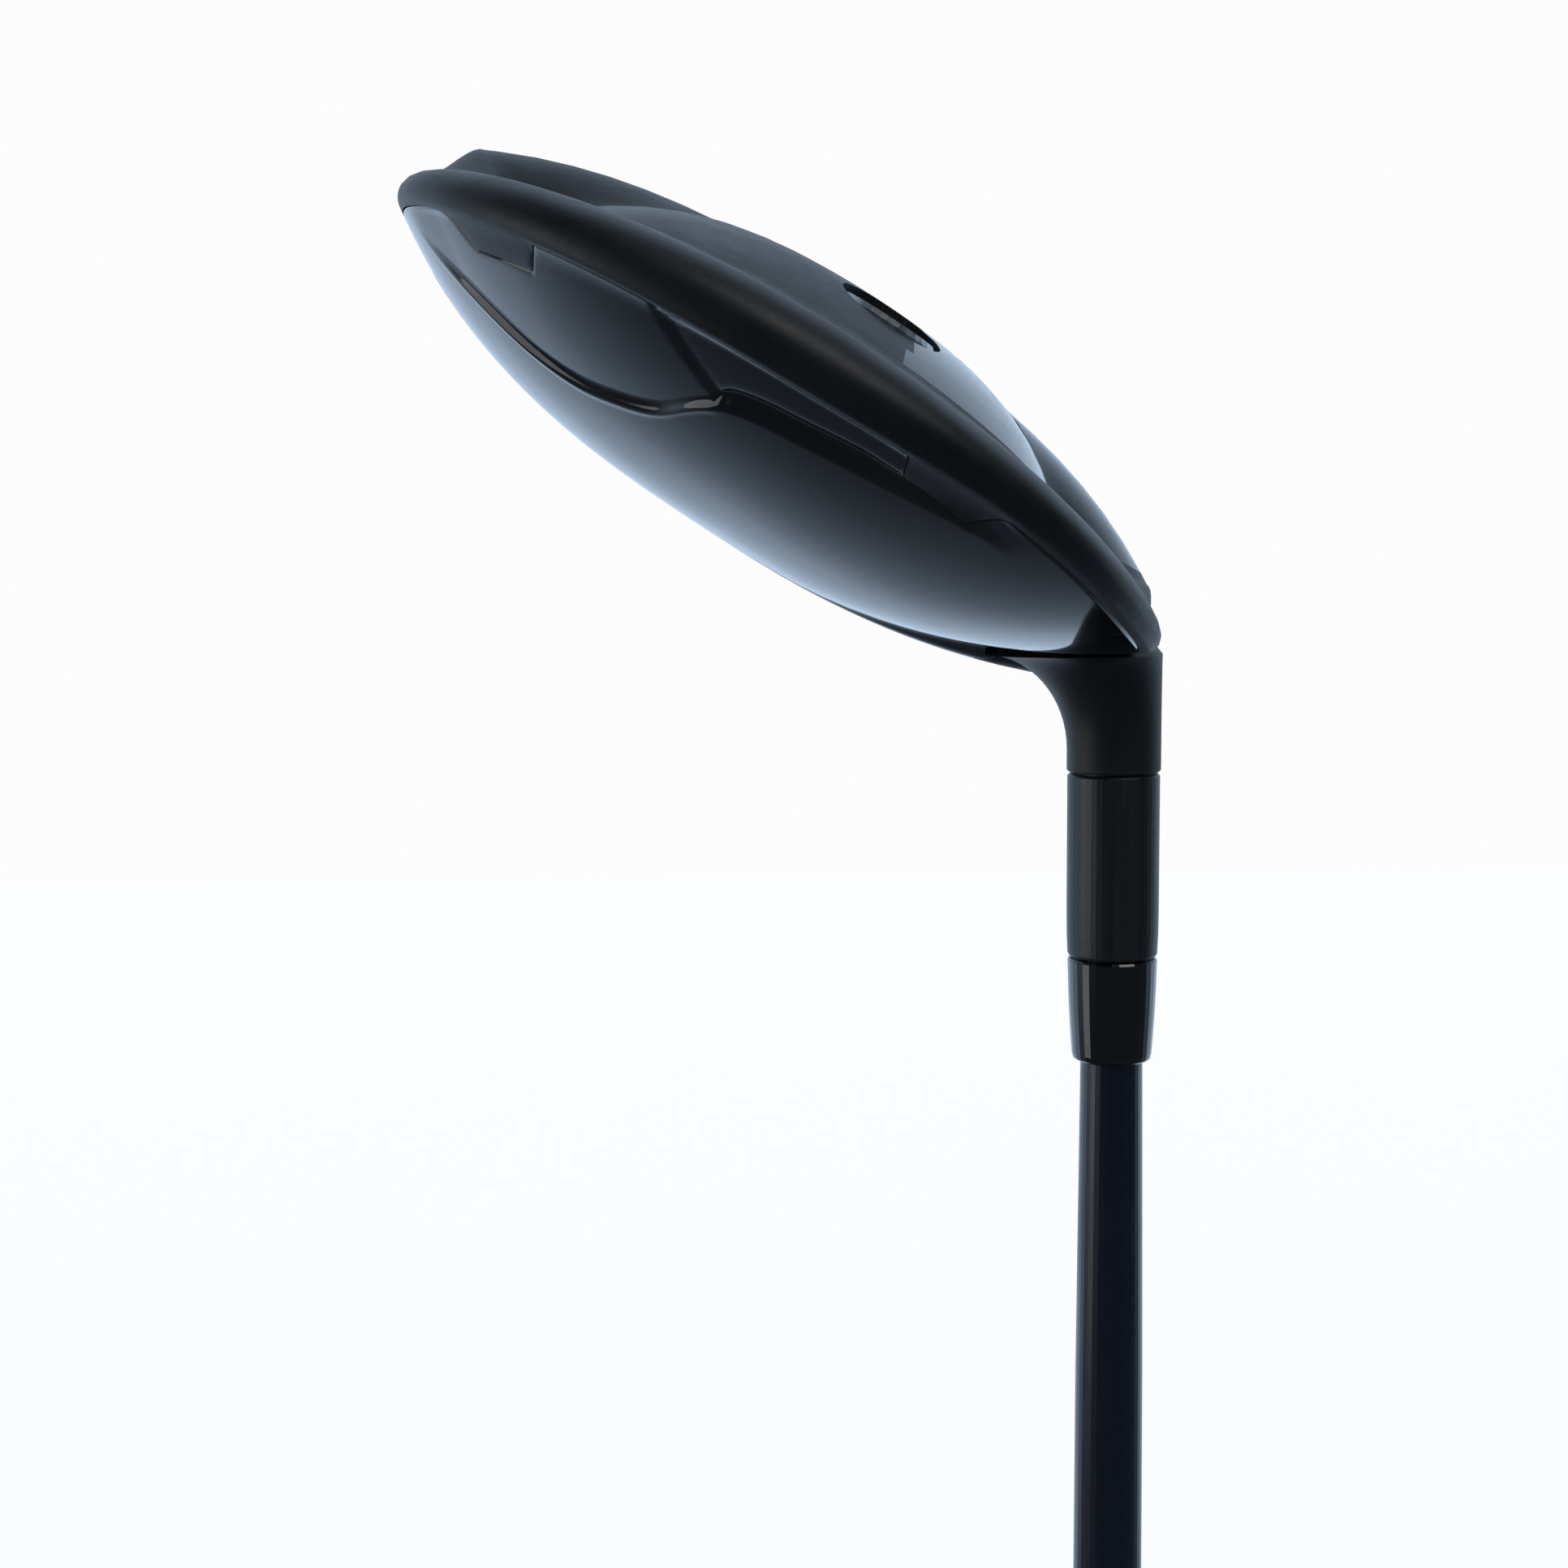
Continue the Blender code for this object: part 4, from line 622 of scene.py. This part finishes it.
def flare(name, extra=0.0, count=96):
    """The neck and its flare: straight on the heel side, swept out to the toe side."""
    rings = [[(0.0, 0.0, NECK_END - extra)], circle(NECK_RADIUS + extra - 0.25 * MM, NECK_END - extra, count),
             circle(NECK_RADIUS + extra, NECK_END - extra + 0.25 * MM, count)]
    for turn in np.linspace(0, math.pi / 2, 17):
        shift = FLARE_REACH * (1 - math.cos(turn)) / 2
        z = NECK_END + FLARE_START + FLARE_LENGTH * math.sin(turn)
        rings.append(circle(NECK_RADIUS + extra + shift, z, count, shift))
    rings.append(circle(NECK_RADIUS - 1 * MM, z + 5 * MM, count, shift / 2))
    rings.append([(shift / 2, 0.0, z + 5 * MM)])
    return skin(name, rings, [])


def address_matrix(t, b, u, tilt=0.0):
    up = to_row((0, 0, 1)) - to_row((0, 0, 0))
    toe = to_row((1, 0, 0)) - to_row((0, 0, 0))
    down = -up * math.cos(tilt) + np.array((0, 1, 0)) * math.sin(tilt)
    axes = np.stack([toe, np.cross(down, toe), down], 1)
    mat = Matrix([list(row) + [0.0] for row in axes] + [[0, 0, 0, 1]])
    mat.translation = Vector(to_row((t, b, u)))
    return mat


def slab(name, half_length, half_height, depth, power=3.2, count=96):
    """A rounded slab along local Z, centred on the origin."""
    outline = []
    for i in range(count):
        angle = 2 * math.pi * i / count
        c, s = math.cos(angle), math.sin(angle)
        r = (abs(c / half_length) ** power + abs(s / half_height) ** power) ** (-1 / power)
        outline.append((r * c, r * s))
    rings = [[(x, y, z) for x, y in outline] for z in (-depth, depth)]
    return skin(name, [[(0, 0, -depth)]] + rings + [[(0, 0, depth)]], [])


def at(ob, matrix):
    ob.matrix_world = matrix
    bpy.context.view_layer.update()
    return ob


def outside(a, name="outside", inside=0.0):
    """The whole head as one closed volume, for trimming pieces to it."""
    skirt = skirt_rings(a, inside)
    crown = [crown_point(a, inset) for inset in (1.5 * inside + 0.6 * MM, 3 * MM, 8 * MM, 16 * MM, 30 * MM)]
    for ring in crown:
        ring[:, 2] -= inside
    rings = [skirt[0].mean(0)[None, :]] + skirt[1:-1] + crown
    rings.append(np.array([(PLAN_T, PLAN_B, CROWN_TOP - inside)]))
    return skin(name, [to_row(r) for r in rings], [])


matte, tree, shader = bare_material("matte_black_casting")
clouds = placed(tree, CLOUDS, Scale=70.0, Spread=0.16)
grain = placed(tree, CLOUDS, Scale=5200.0, Spread=0.25)
scuffs = placed(tree, STREAKS, Stretch=(260.0, 1500.0, 260.0), Spread=0.16)
specks = placed(tree, SPECKS, Scale=1300.0, Size=0.17, Patches=110.0, Cover=0.585)
edge_mask = placed(tree, EDGE_LIGHTENING, Start=0.535, Scale=800.0)
colour = blended(tree, clouds, (0.0046, 0.0056, 0.0068), (0.0080, 0.0092, 0.0108))
colour = blended(tree, scaled(tree, scuffs, 0.18), colour, (0.020, 0.022, 0.025))
colour = blended(tree, scaled(tree, specks, 0.28), colour, (0.085, 0.09, 0.095))
# The lighter colour on sharp edges is partly edge wear and partly a painted highlight along the rounded
# edges.
colour = blended(tree, scaled(tree, edge_mask, 0.35), colour, (0.10, 0.105, 0.11))
rough = summed(tree, blended(tree, clouds, 0.40, 0.50), scaled(tree, scuffs, 0.05))
finish_surface(tree, shader, colour, rough, summed(tree, grain, scaled(tree, specks, 2.0)), 0.000006)
shader.inputs["Specular IOR Level"].default_value = 0.45

gloss_sole, tree, shader = bare_material("gloss_black_sole")
clouds = placed(tree, CLOUDS, Scale=90.0, Spread=0.2)
swings = placed(tree, STREAKS, Stretch=(1700.0, 30.0, 1700.0), Spread=0.03)
scrapes = placed(tree, CLOUDS, Scale=45.0, Spread=0.03)
dust = placed(tree, SPECKS, Scale=1700.0, Size=0.15, Patches=120.0, Cover=0.6)
colour = blended(tree, clouds, (0.0030, 0.0036, 0.0044), (0.0052, 0.0060, 0.0070))
marks = node(tree, "ShaderNodeMath", {0: swings, 1: scrapes}, operation="MULTIPLY").outputs[0]
colour = blended(tree, scaled(tree, marks, 0.12), colour, (0.05, 0.055, 0.06))
colour = blended(tree, scaled(tree, dust, 0.3), colour, (0.12, 0.125, 0.13))
rough = summed(tree, blended(tree, clouds, 0.10, 0.16), scaled(tree, marks, 0.06))
finish_surface(tree, shader, colour, rough, marks, 0.000006)
shader.inputs["Coat Weight"].default_value = 0.4
shader.inputs["Coat Roughness"].default_value = 0.08

BODY_SOLE_RINGS = 12
a = columns(1.5, (TOE_TAB[::3], HEEL_TAB[::3], (186.0, 218.0)), 0.5)
seam = seam_inset(a)
outer = skirt_rings(a, sole=BODY_SOLE_RINGS)
drop = np.array((0, 0, CROWN_WALL + GAP))
lip = [crown_point(a, seam * share) for share in (0.25, 0.6, 0.9)]
brink = crown_point(a, seam) - np.array((0, 0, 0.12 * MM))
ledge = crown_point(a, seam + LEDGE_WIDTH) - drop - np.array((0, 0, LEDGE_FALL))
inner = skirt_rings(a, WALL, sole=5, edge_steps=4, side_steps=4)
top = rim_height(a) - drop[2] - LEDGE_FALL - LEDGE_WALL
for k in range(6, len(inner)):
    inner[k][:, 2] = np.minimum(inner[k][:, 2], top - (len(inner) - k) * 0.1 * MM)
rings = [outer[0].mean(0)[None, :]] + outer[1:] + lip + [brink, crown_point(a, seam) - drop, ledge,
                                                        ledge - np.array((0, 0, LEDGE_WALL))]
rings += inner[-2:0:-1] + [inner[0].mean(0)[None, :]]
slots = [1] * (BODY_SOLE_RINGS - 1) + [0] * (len(rings) - BODY_SOLE_RINGS)
casting = skin("head_casting", [to_row(r) for r in rings], [matte, gloss_sole], slots)

trim_columns = columns(3.0, (), 1.0)
TUBE_RADIUS, TUBE_START, TUBE_END = 6.9 * MM, NECK_END + 9 * MM, CLUB_LENGTH + 6 * MM
TRIM_INSET = 0.4 * MM
tube = turned_solid("tube", [(0, TUBE_START), (TUBE_RADIUS, TUBE_START), (TUBE_RADIUS, TUBE_END),
                             (0, TUBE_END)])
combine(tube, outside(trim_columns, "tube_trim", TRIM_INSET), "INTERSECT")
combine(casting, flare("neck"), "UNION")
combine(casting, tube, "UNION")

# Opening for the face insert
FACE_LENGTH, FACE_HEIGHT, FACE_CENTRE_U = 78.0 * MM, 27.0 * MM, 19.0 * MM
toe = to_row((1, 0, 0)) - to_row((0, 0, 0))
face_out = to_row((0, -math.cos(LOFT), math.sin(LOFT))) - to_row((0, 0, 0))
axes = np.stack([toe, np.cross(face_out, toe), face_out], 1)
face_place = Matrix([list(row) + [0.0] for row in axes] + [[0, 0, 0, 1]])
lean = (FACE_CENTRE_U - LEADING_EDGE) * math.tan(LOFT)
face_place.translation = Vector(to_row((FACE_CENTRE_T, PLAN_B - FRONT_REACH + lean, FACE_CENTRE_U)))
combine(casting, at(slab("face_cut", FACE_LENGTH / 2 + GAP, FACE_HEIGHT / 2 + GAP, 7 * MM), face_place))

# Pad and recess for the sole plate
PLATE_T, PLATE_B, PLATE_HALF_T, PLATE_HALF_B = 38.0 * MM, 23.0 * MM, 24.0 * MM, 12.0 * MM
PAD_HEIGHT, PLATE_WALL = 3.9 * MM, 1.0 * MM
plate_place = address_matrix(PLATE_T, PLATE_B, 0.0)
pad = at(slab("pad", PLATE_HALF_T + 2 * MM, PLATE_HALF_B + 2 * MM, PAD_HEIGHT), plate_place)
combine(pad, outside(trim_columns, "pad_trim", TRIM_INSET), "INTERSECT")
combine(casting, pad, "UNION")
recess = at(slab("recess", PLATE_HALF_T + GAP, PLATE_HALF_B + GAP, 14 * MM), plate_place)
lifted = outside(trim_columns, "lifted")
raised = Matrix.Translation(Vector(to_row((0, 0, PLATE_WALL + GAP)) - to_row((0, 0, 0))))
combine(recess, at(lifted, raised))
combine(casting, recess)

# Bosses and stepped pockets for the two sole weights
WEIGHT_RADIUS, WEIGHT_STEM_RADIUS, WEIGHT_STEM = 6.5 * MM, 4.0 * MM, 4.5 * MM
WEIGHT_DEPTH = 0.5 * MM + 2.6 * MM + 0.6 * MM + 2 * GAP
BOSS_WALL = 1.6 * MM


def joint_place(name):
    """Pivot and outward axis of a joint, from the frame's record."""
    for joint in frame["record"]["behaviour"]["joints"]:
        if joint["name"] == name:
            return Vector(joint["pos_m"]), Vector(joint["axis"]).normalized()
    raise ValueError(name)


weight_places = {}
for key in ("rear", "front"):
    pivot, axis = joint_place(key + "_weight_turn")
    weight_places[key] = (pivot, axis)
    spot = Matrix.Translation(pivot) @ axis.to_track_quat("Z", "Y").to_matrix().to_4x4()
    top = -(WEIGHT_DEPTH + WEIGHT_STEM + GAP + BOSS_WALL)
    boss = at(turned_solid("boss", [(0, top), (WEIGHT_STEM_RADIUS + GAP + BOSS_WALL, top),
                                    (WEIGHT_STEM_RADIUS + GAP + BOSS_WALL, -WEIGHT_DEPTH - BOSS_WALL),
                                    (WEIGHT_RADIUS + GAP + BOSS_WALL, -WEIGHT_DEPTH - BOSS_WALL + 1 * MM),
                                    (WEIGHT_RADIUS + GAP + BOSS_WALL, 3 * MM), (0, 3 * MM)]), spot)
    combine(boss, outside(trim_columns, "boss_trim", TRIM_INSET), "INTERSECT")
    combine(casting, boss, "UNION")
    pocket = at(turned_solid("pocket", [(0, -WEIGHT_DEPTH - WEIGHT_STEM - GAP),
                                        (WEIGHT_STEM_RADIUS + GAP, -WEIGHT_DEPTH - WEIGHT_STEM - GAP),
                                        (WEIGHT_STEM_RADIUS + GAP, -WEIGHT_DEPTH),
                                        (WEIGHT_RADIUS + GAP, -WEIGHT_DEPTH),
                                        (WEIGHT_RADIUS + GAP, 6 * MM), (0, 6 * MM)]), spot)
    combine(casting, pocket)

# Bore for the sleeve, its seat, and the port for the screw
BORE, BORE_DEPTH, SEAT_WEB, SCREW_HOLE, PORT = 5.6 * MM, 17.5 * MM, 2.2 * MM, 3.1 * MM, 5.2 * MM
drill = turned_solid("drill", [
    (0, NECK_END - 2 * MM), (BORE + 0.4 * MM, NECK_END - 2 * MM), (BORE + 0.4 * MM, NECK_END + 0.01 * MM),
    (BORE, NECK_END + 0.5 * MM), (BORE, NECK_END + BORE_DEPTH), (SCREW_HOLE, NECK_END + BORE_DEPTH),
    (SCREW_HOLE, NECK_END + BORE_DEPTH + SEAT_WEB), (PORT, NECK_END + BORE_DEPTH + SEAT_WEB),
    (PORT, CLUB_LENGTH + 12 * MM), (0, CLUB_LENGTH + 12 * MM)], 72)
combine(casting, drill)
GLOSS_END_T = 34.0 * MM
toe_axis = Vector(to_row((1, 0, 0)) - to_row((0, 0, 0)))
for face in casting.data.polygons:
    if (face.center - Vector((0, 0, CLUB_LENGTH))).dot(toe_axis) > GLOSS_END_T:
        face.material_index = 0
tidy_normals(casting)
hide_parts("head_body")
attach(casting, "head")


# ---------------------------------------------------------------- crown
# A thin moulded panel bonded on the casting's ledge, lacquered gloss black. Its rear steps down
# beyond a beaded crease, and a fine groove runs from the rim to where the crease turns.
BEAD_HEIGHT, BEAD_WIDTH, BEAD_OFFSET = 0.13 * MM, 0.55 * MM, 1.5 * MM
GROOVE_START, GROOVE_END = (67.0, 0.3 * MM), (78.5, 8.8 * MM)
GROOVE_DEPTH, GROOVE_WIDTH = 0.32 * MM, 0.38 * MM
PANEL_FALL = 0.35 * MM
TRENCH_DEPTH, TRENCH_WIDTH = 0.35 * MM, 0.7 * MM
EDGE_FALL = (0.34 * MM, 0.16 * MM, 0.04 * MM)     # rounding of the panel's outer edge, ring by ring


def polar_point(degrees, inset):
    a = np.radians(np.array([degrees]))
    t, b, _ = crown_point(a, inset, detail=False)[0]
    return np.array((t, b))


def crown_surface(a, inset):
    """The crown with its bead, groove and trench."""
    p = crown_point(a, inset)
    crease, strong = crease_inset(a)
    deg = np.degrees(a)
    off = inset - crease - BEAD_OFFSET + CREASE_WIDTH / 2
    toe_side = strong * ease((80.0 - deg) / 3.0)
    p[:, 2] += BEAD_HEIGHT * toe_side * np.exp(-(off / BEAD_WIDTH) ** 2)
    heel_side = ease((deg - 77.0) / 3.0) * ease((118.0 - deg) / 8.0)
    foot = inset - crease + CREASE_WIDTH / 2
    p[:, 2] -= TRENCH_DEPTH * heel_side * np.exp(-(foot / TRENCH_WIDTH) ** 2)
    start, end = polar_point(*GROOVE_START), polar_point(*GROOVE_END)
    line = end - start
    length = np.hypot(*line)
    rel = p[:, :2] - start
    along = rel @ line / length
    away = (rel[:, 0] * line[1] - rel[:, 1] * line[0]) / length
    inside_line = ease((along + 0.6 * MM) / (0.6 * MM)) * ease((length - along) / (0.5 * MM))
    p[:, 2] -= GROOVE_DEPTH * inside_line * np.exp(-(away / GROOVE_WIDTH) ** 2)
    heelward = ease(away / (0.5 * MM))
    beyond = ease((crease - inset) / CREASE_WIDTH + 0.5) * ease((inset - SEAM_INSET) / (1.5 * MM))
    p[:, 2] -= PANEL_FALL * heelward * beyond * ease((deg - 60) / 4) * ease((104 - deg) / 6)
    return p


lacquer, tree, shader = bare_material("crown_lacquer")
clouds = placed(tree, CLOUDS, Scale=55.0, Spread=0.2)
hairs = placed(tree, STREAKS, Stretch=(420.0, 2600.0, 900.0), Spread=0.02)
where = placed(tree, CLOUDS, Scale=48.0, Spread=0.02)
dust = placed(tree, SPECKS, Scale=2300.0, Size=0.10, Patches=100.0, Cover=0.62)
peel = placed(tree, CLOUDS, Scale=900.0, Spread=0.3)
marks = node(tree, "ShaderNodeMath", {0: hairs, 1: where}, operation="MULTIPLY").outputs[0]
colour = blended(tree, clouds, (0.0012, 0.0020, 0.0030), (0.0022, 0.0034, 0.0048))
colour = blended(tree, scaled(tree, marks, 0.25), colour, (0.010, 0.012, 0.014))
colour = blended(tree, scaled(tree, dust, 0.25), colour, (0.10, 0.11, 0.12))
rough = summed(tree, blended(tree, clouds, 0.045, 0.085), scaled(tree, marks, 0.05), scaled(tree, dust, 0.25))
finish_surface(tree, shader, colour, rough, summed(tree, scaled(tree, peel, 0.2), scaled(tree, marks, -0.5)),
               0.0000008)
shader.inputs["Coat Weight"].default_value = 0.25
shader.inputs["Coat Roughness"].default_value = 0.035

a = columns(1.0, ((14.0, 56.0), (60.0, 84.0), (100.0, 120.0), (186.0, 218.0)), 0.3)
edge = seam_inset(a) + 0.12 * MM
stations = [edge, edge + 0.05 * MM, edge + 0.16 * MM, edge + 0.36 * MM]
crease = crease_inset(a)[0]
inner_limit = 23.0 * MM
low = np.maximum(crease - 1.8 * MM, stations[3] + 0.4 * MM)
high = np.maximum(crease + 2.8 * MM, low + 2.0 * MM)
for start, end, steps in ((stations[3], low, 16), (low, high, 36), (high, inner_limit + 0 * a, 18)):
    stations += [start + (end - start) * share for share in np.linspace(0.0, 1.0, steps)[1:]]
stations += [inner_limit + k * MM + 0 * a for k in (2.0, 4.5, 8.0, 12.0, 16.0, 20.0)]
top = [crown_surface(a, inset) for inset in stations]
for ring, fall in zip(top, EDGE_FALL):
    ring[:, 2] -= fall
under = [crown_point(a, inset) - np.array((0, 0, CROWN_WALL))
         for inset in (edge, edge + 4 * MM, edge + 12 * MM)]
rings = [np.array([(PLAN_T, PLAN_B, CROWN_TOP)])] + top[::-1] + under
rings.append(np.array([(PLAN_T, PLAN_B, CROWN_TOP - CROWN_WALL)]))
crown = skin("crown_shell", [to_row(r) for r in rings], [lacquer])
combine(crown, flare("neck_gap", extra=0.05 * MM))
tidy_normals(crown, 50)
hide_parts("crown_panel")
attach(crown, "head")


# ---------------------------------------------------------------- face insert and sole plate
# The face is a forged steel cup, milled and brushed from toe to heel with shallow score lines, then
# laser welded in. The sole plate is a thin glossy cover bonded over the weld access.
mat, tree, shader = bare_material("brushed_face")
lines = placed(tree, STREAKS, Stretch=(90.0, 2600.0, 2600.0), Spread=0.25)
clouds = placed(tree, CLOUDS, Scale=80.0, Spread=0.15)
balls = placed(tree, SPECKS, Scale=500.0, Size=0.2, Patches=60.0, Cover=0.55)
edge_mask = placed(tree, EDGE_LIGHTENING, Start=0.52, Scale=700.0)
colour = blended(tree, lines, (0.10, 0.102, 0.106), (0.17, 0.173, 0.178))
colour = blended(tree, scaled(tree, balls, 0.3), colour, (0.26, 0.26, 0.26))
colour = blended(tree, scaled(tree, edge_mask, 0.5), colour, (0.42, 0.42, 0.43))
rough = summed(tree, blended(tree, clouds, 0.30, 0.42), scaled(tree, lines, 0.08))
finish_surface(tree, shader, colour, rough, summed(tree, lines, scaled(tree, balls, -0.5)), 0.000006)
shader.inputs["Metallic"].default_value = 0.95
dress("face_insert", mat)
dress("sole_plate", gloss_sole)


# ---------------------------------------------------------------- sole weights and their seals
# Turned steel weights screwed into the sole with a six-lobe driver, each on a black nylon washer.
for key, (pivot, axis) in weight_places.items():
    mat, tree, shader = bare_material(key + "_turned_weight")
    rings = placed(tree, TURNED, Pivot=pivot, Axis=axis, Pitch=0.00011)
    clouds = placed(tree, CLOUDS, Scale=200.0, Spread=0.2)
    edge_mask = placed(tree, EDGE_LIGHTENING, Start=0.52, Scale=900.0)
    colour = blended(tree, rings, (0.20, 0.205, 0.21), (0.30, 0.305, 0.31))
    colour = blended(tree, scaled(tree, clouds, 0.4), colour, (0.16, 0.165, 0.17))
    colour = blended(tree, scaled(tree, edge_mask, 0.6), colour, (0.55, 0.55, 0.56))
    finish_surface(tree, shader, colour, blended(tree, clouds, 0.24, 0.38), rings, 0.000006)
    shader.inputs["Metallic"].default_value = 1.0
    dress(key + "_weight", mat)

nylon, tree, shader = bare_material("black_nylon")
clouds = placed(tree, CLOUDS, Scale=500.0, Spread=0.2)
colour = blended(tree, clouds, (0.010, 0.010, 0.011), (0.018, 0.018, 0.019))
finish_surface(tree, shader, colour, blended(tree, clouds, 0.5, 0.65), clouds, 0.00001)
for name in ("rear_weight_seal", "front_weight_seal", "screw_retainer"):
    dress(name, nylon)


# ---------------------------------------------------------------- hosel screw and its fittings
# A turned steel screw comes up through the sole and pulls the sleeve into the neck. Its washer, the
# threaded insert in the sleeve and the plug in the shaft's tip are turned from the same bar.
steel, tree, shader = bare_material("turned_steel")
rings = placed(tree, TURNED, Pitch=0.0001)
clouds = placed(tree, CLOUDS, Scale=250.0, Spread=0.2)
edge_mask = placed(tree, EDGE_LIGHTENING, Start=0.52, Scale=1200.0)
colour = blended(tree, rings, (0.27, 0.275, 0.28), (0.38, 0.385, 0.39))
colour = blended(tree, scaled(tree, clouds, 0.35), colour, (0.20, 0.19, 0.18))
colour = blended(tree, scaled(tree, edge_mask, 0.5), colour, (0.6, 0.6, 0.6))
finish_surface(tree, shader, colour, blended(tree, clouds, 0.25, 0.42), rings, 0.000006)
shader.inputs["Metallic"].default_value = 1.0
for name in ("hosel_screw", "screw_washer", "thread_insert", "tip_plug"):
    dress(name, steel)


# ---------------------------------------------------------------- masses inside the head
# A sintered tungsten bar and a pad of cured damping glue sit on the floor of the hollow casting.
mat, tree, shader = bare_material("sintered_tungsten")
grain = placed(tree, CLOUDS, Scale=2400.0, Spread=0.25)
clouds = placed(tree, CLOUDS, Scale=150.0, Spread=0.2)
colour = blended(tree, grain, (0.16, 0.16, 0.165), (0.25, 0.25, 0.255))
finish_surface(tree, shader, colour, blended(tree, clouds, 0.45, 0.65), grain, 0.00003)
shader.inputs["Metallic"].default_value = 0.9
dress("tungsten_bar", mat)

mat, tree, shader = bare_material("cured_glue")
clouds = placed(tree, CLOUDS, Scale=180.0, Spread=0.2)
bubbles = placed(tree, SPECKS, Scale=1400.0, Size=0.25, Patches=200.0, Cover=0.5)
colour = blended(tree, clouds, (0.42, 0.30, 0.10), (0.55, 0.42, 0.18))
colour = blended(tree, scaled(tree, bubbles, 0.5), colour, (0.70, 0.60, 0.38))
finish_surface(tree, shader, colour, blended(tree, clouds, 0.25, 0.45), bubbles, 0.00005)
dress("damping_pad", mat)

low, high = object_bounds()
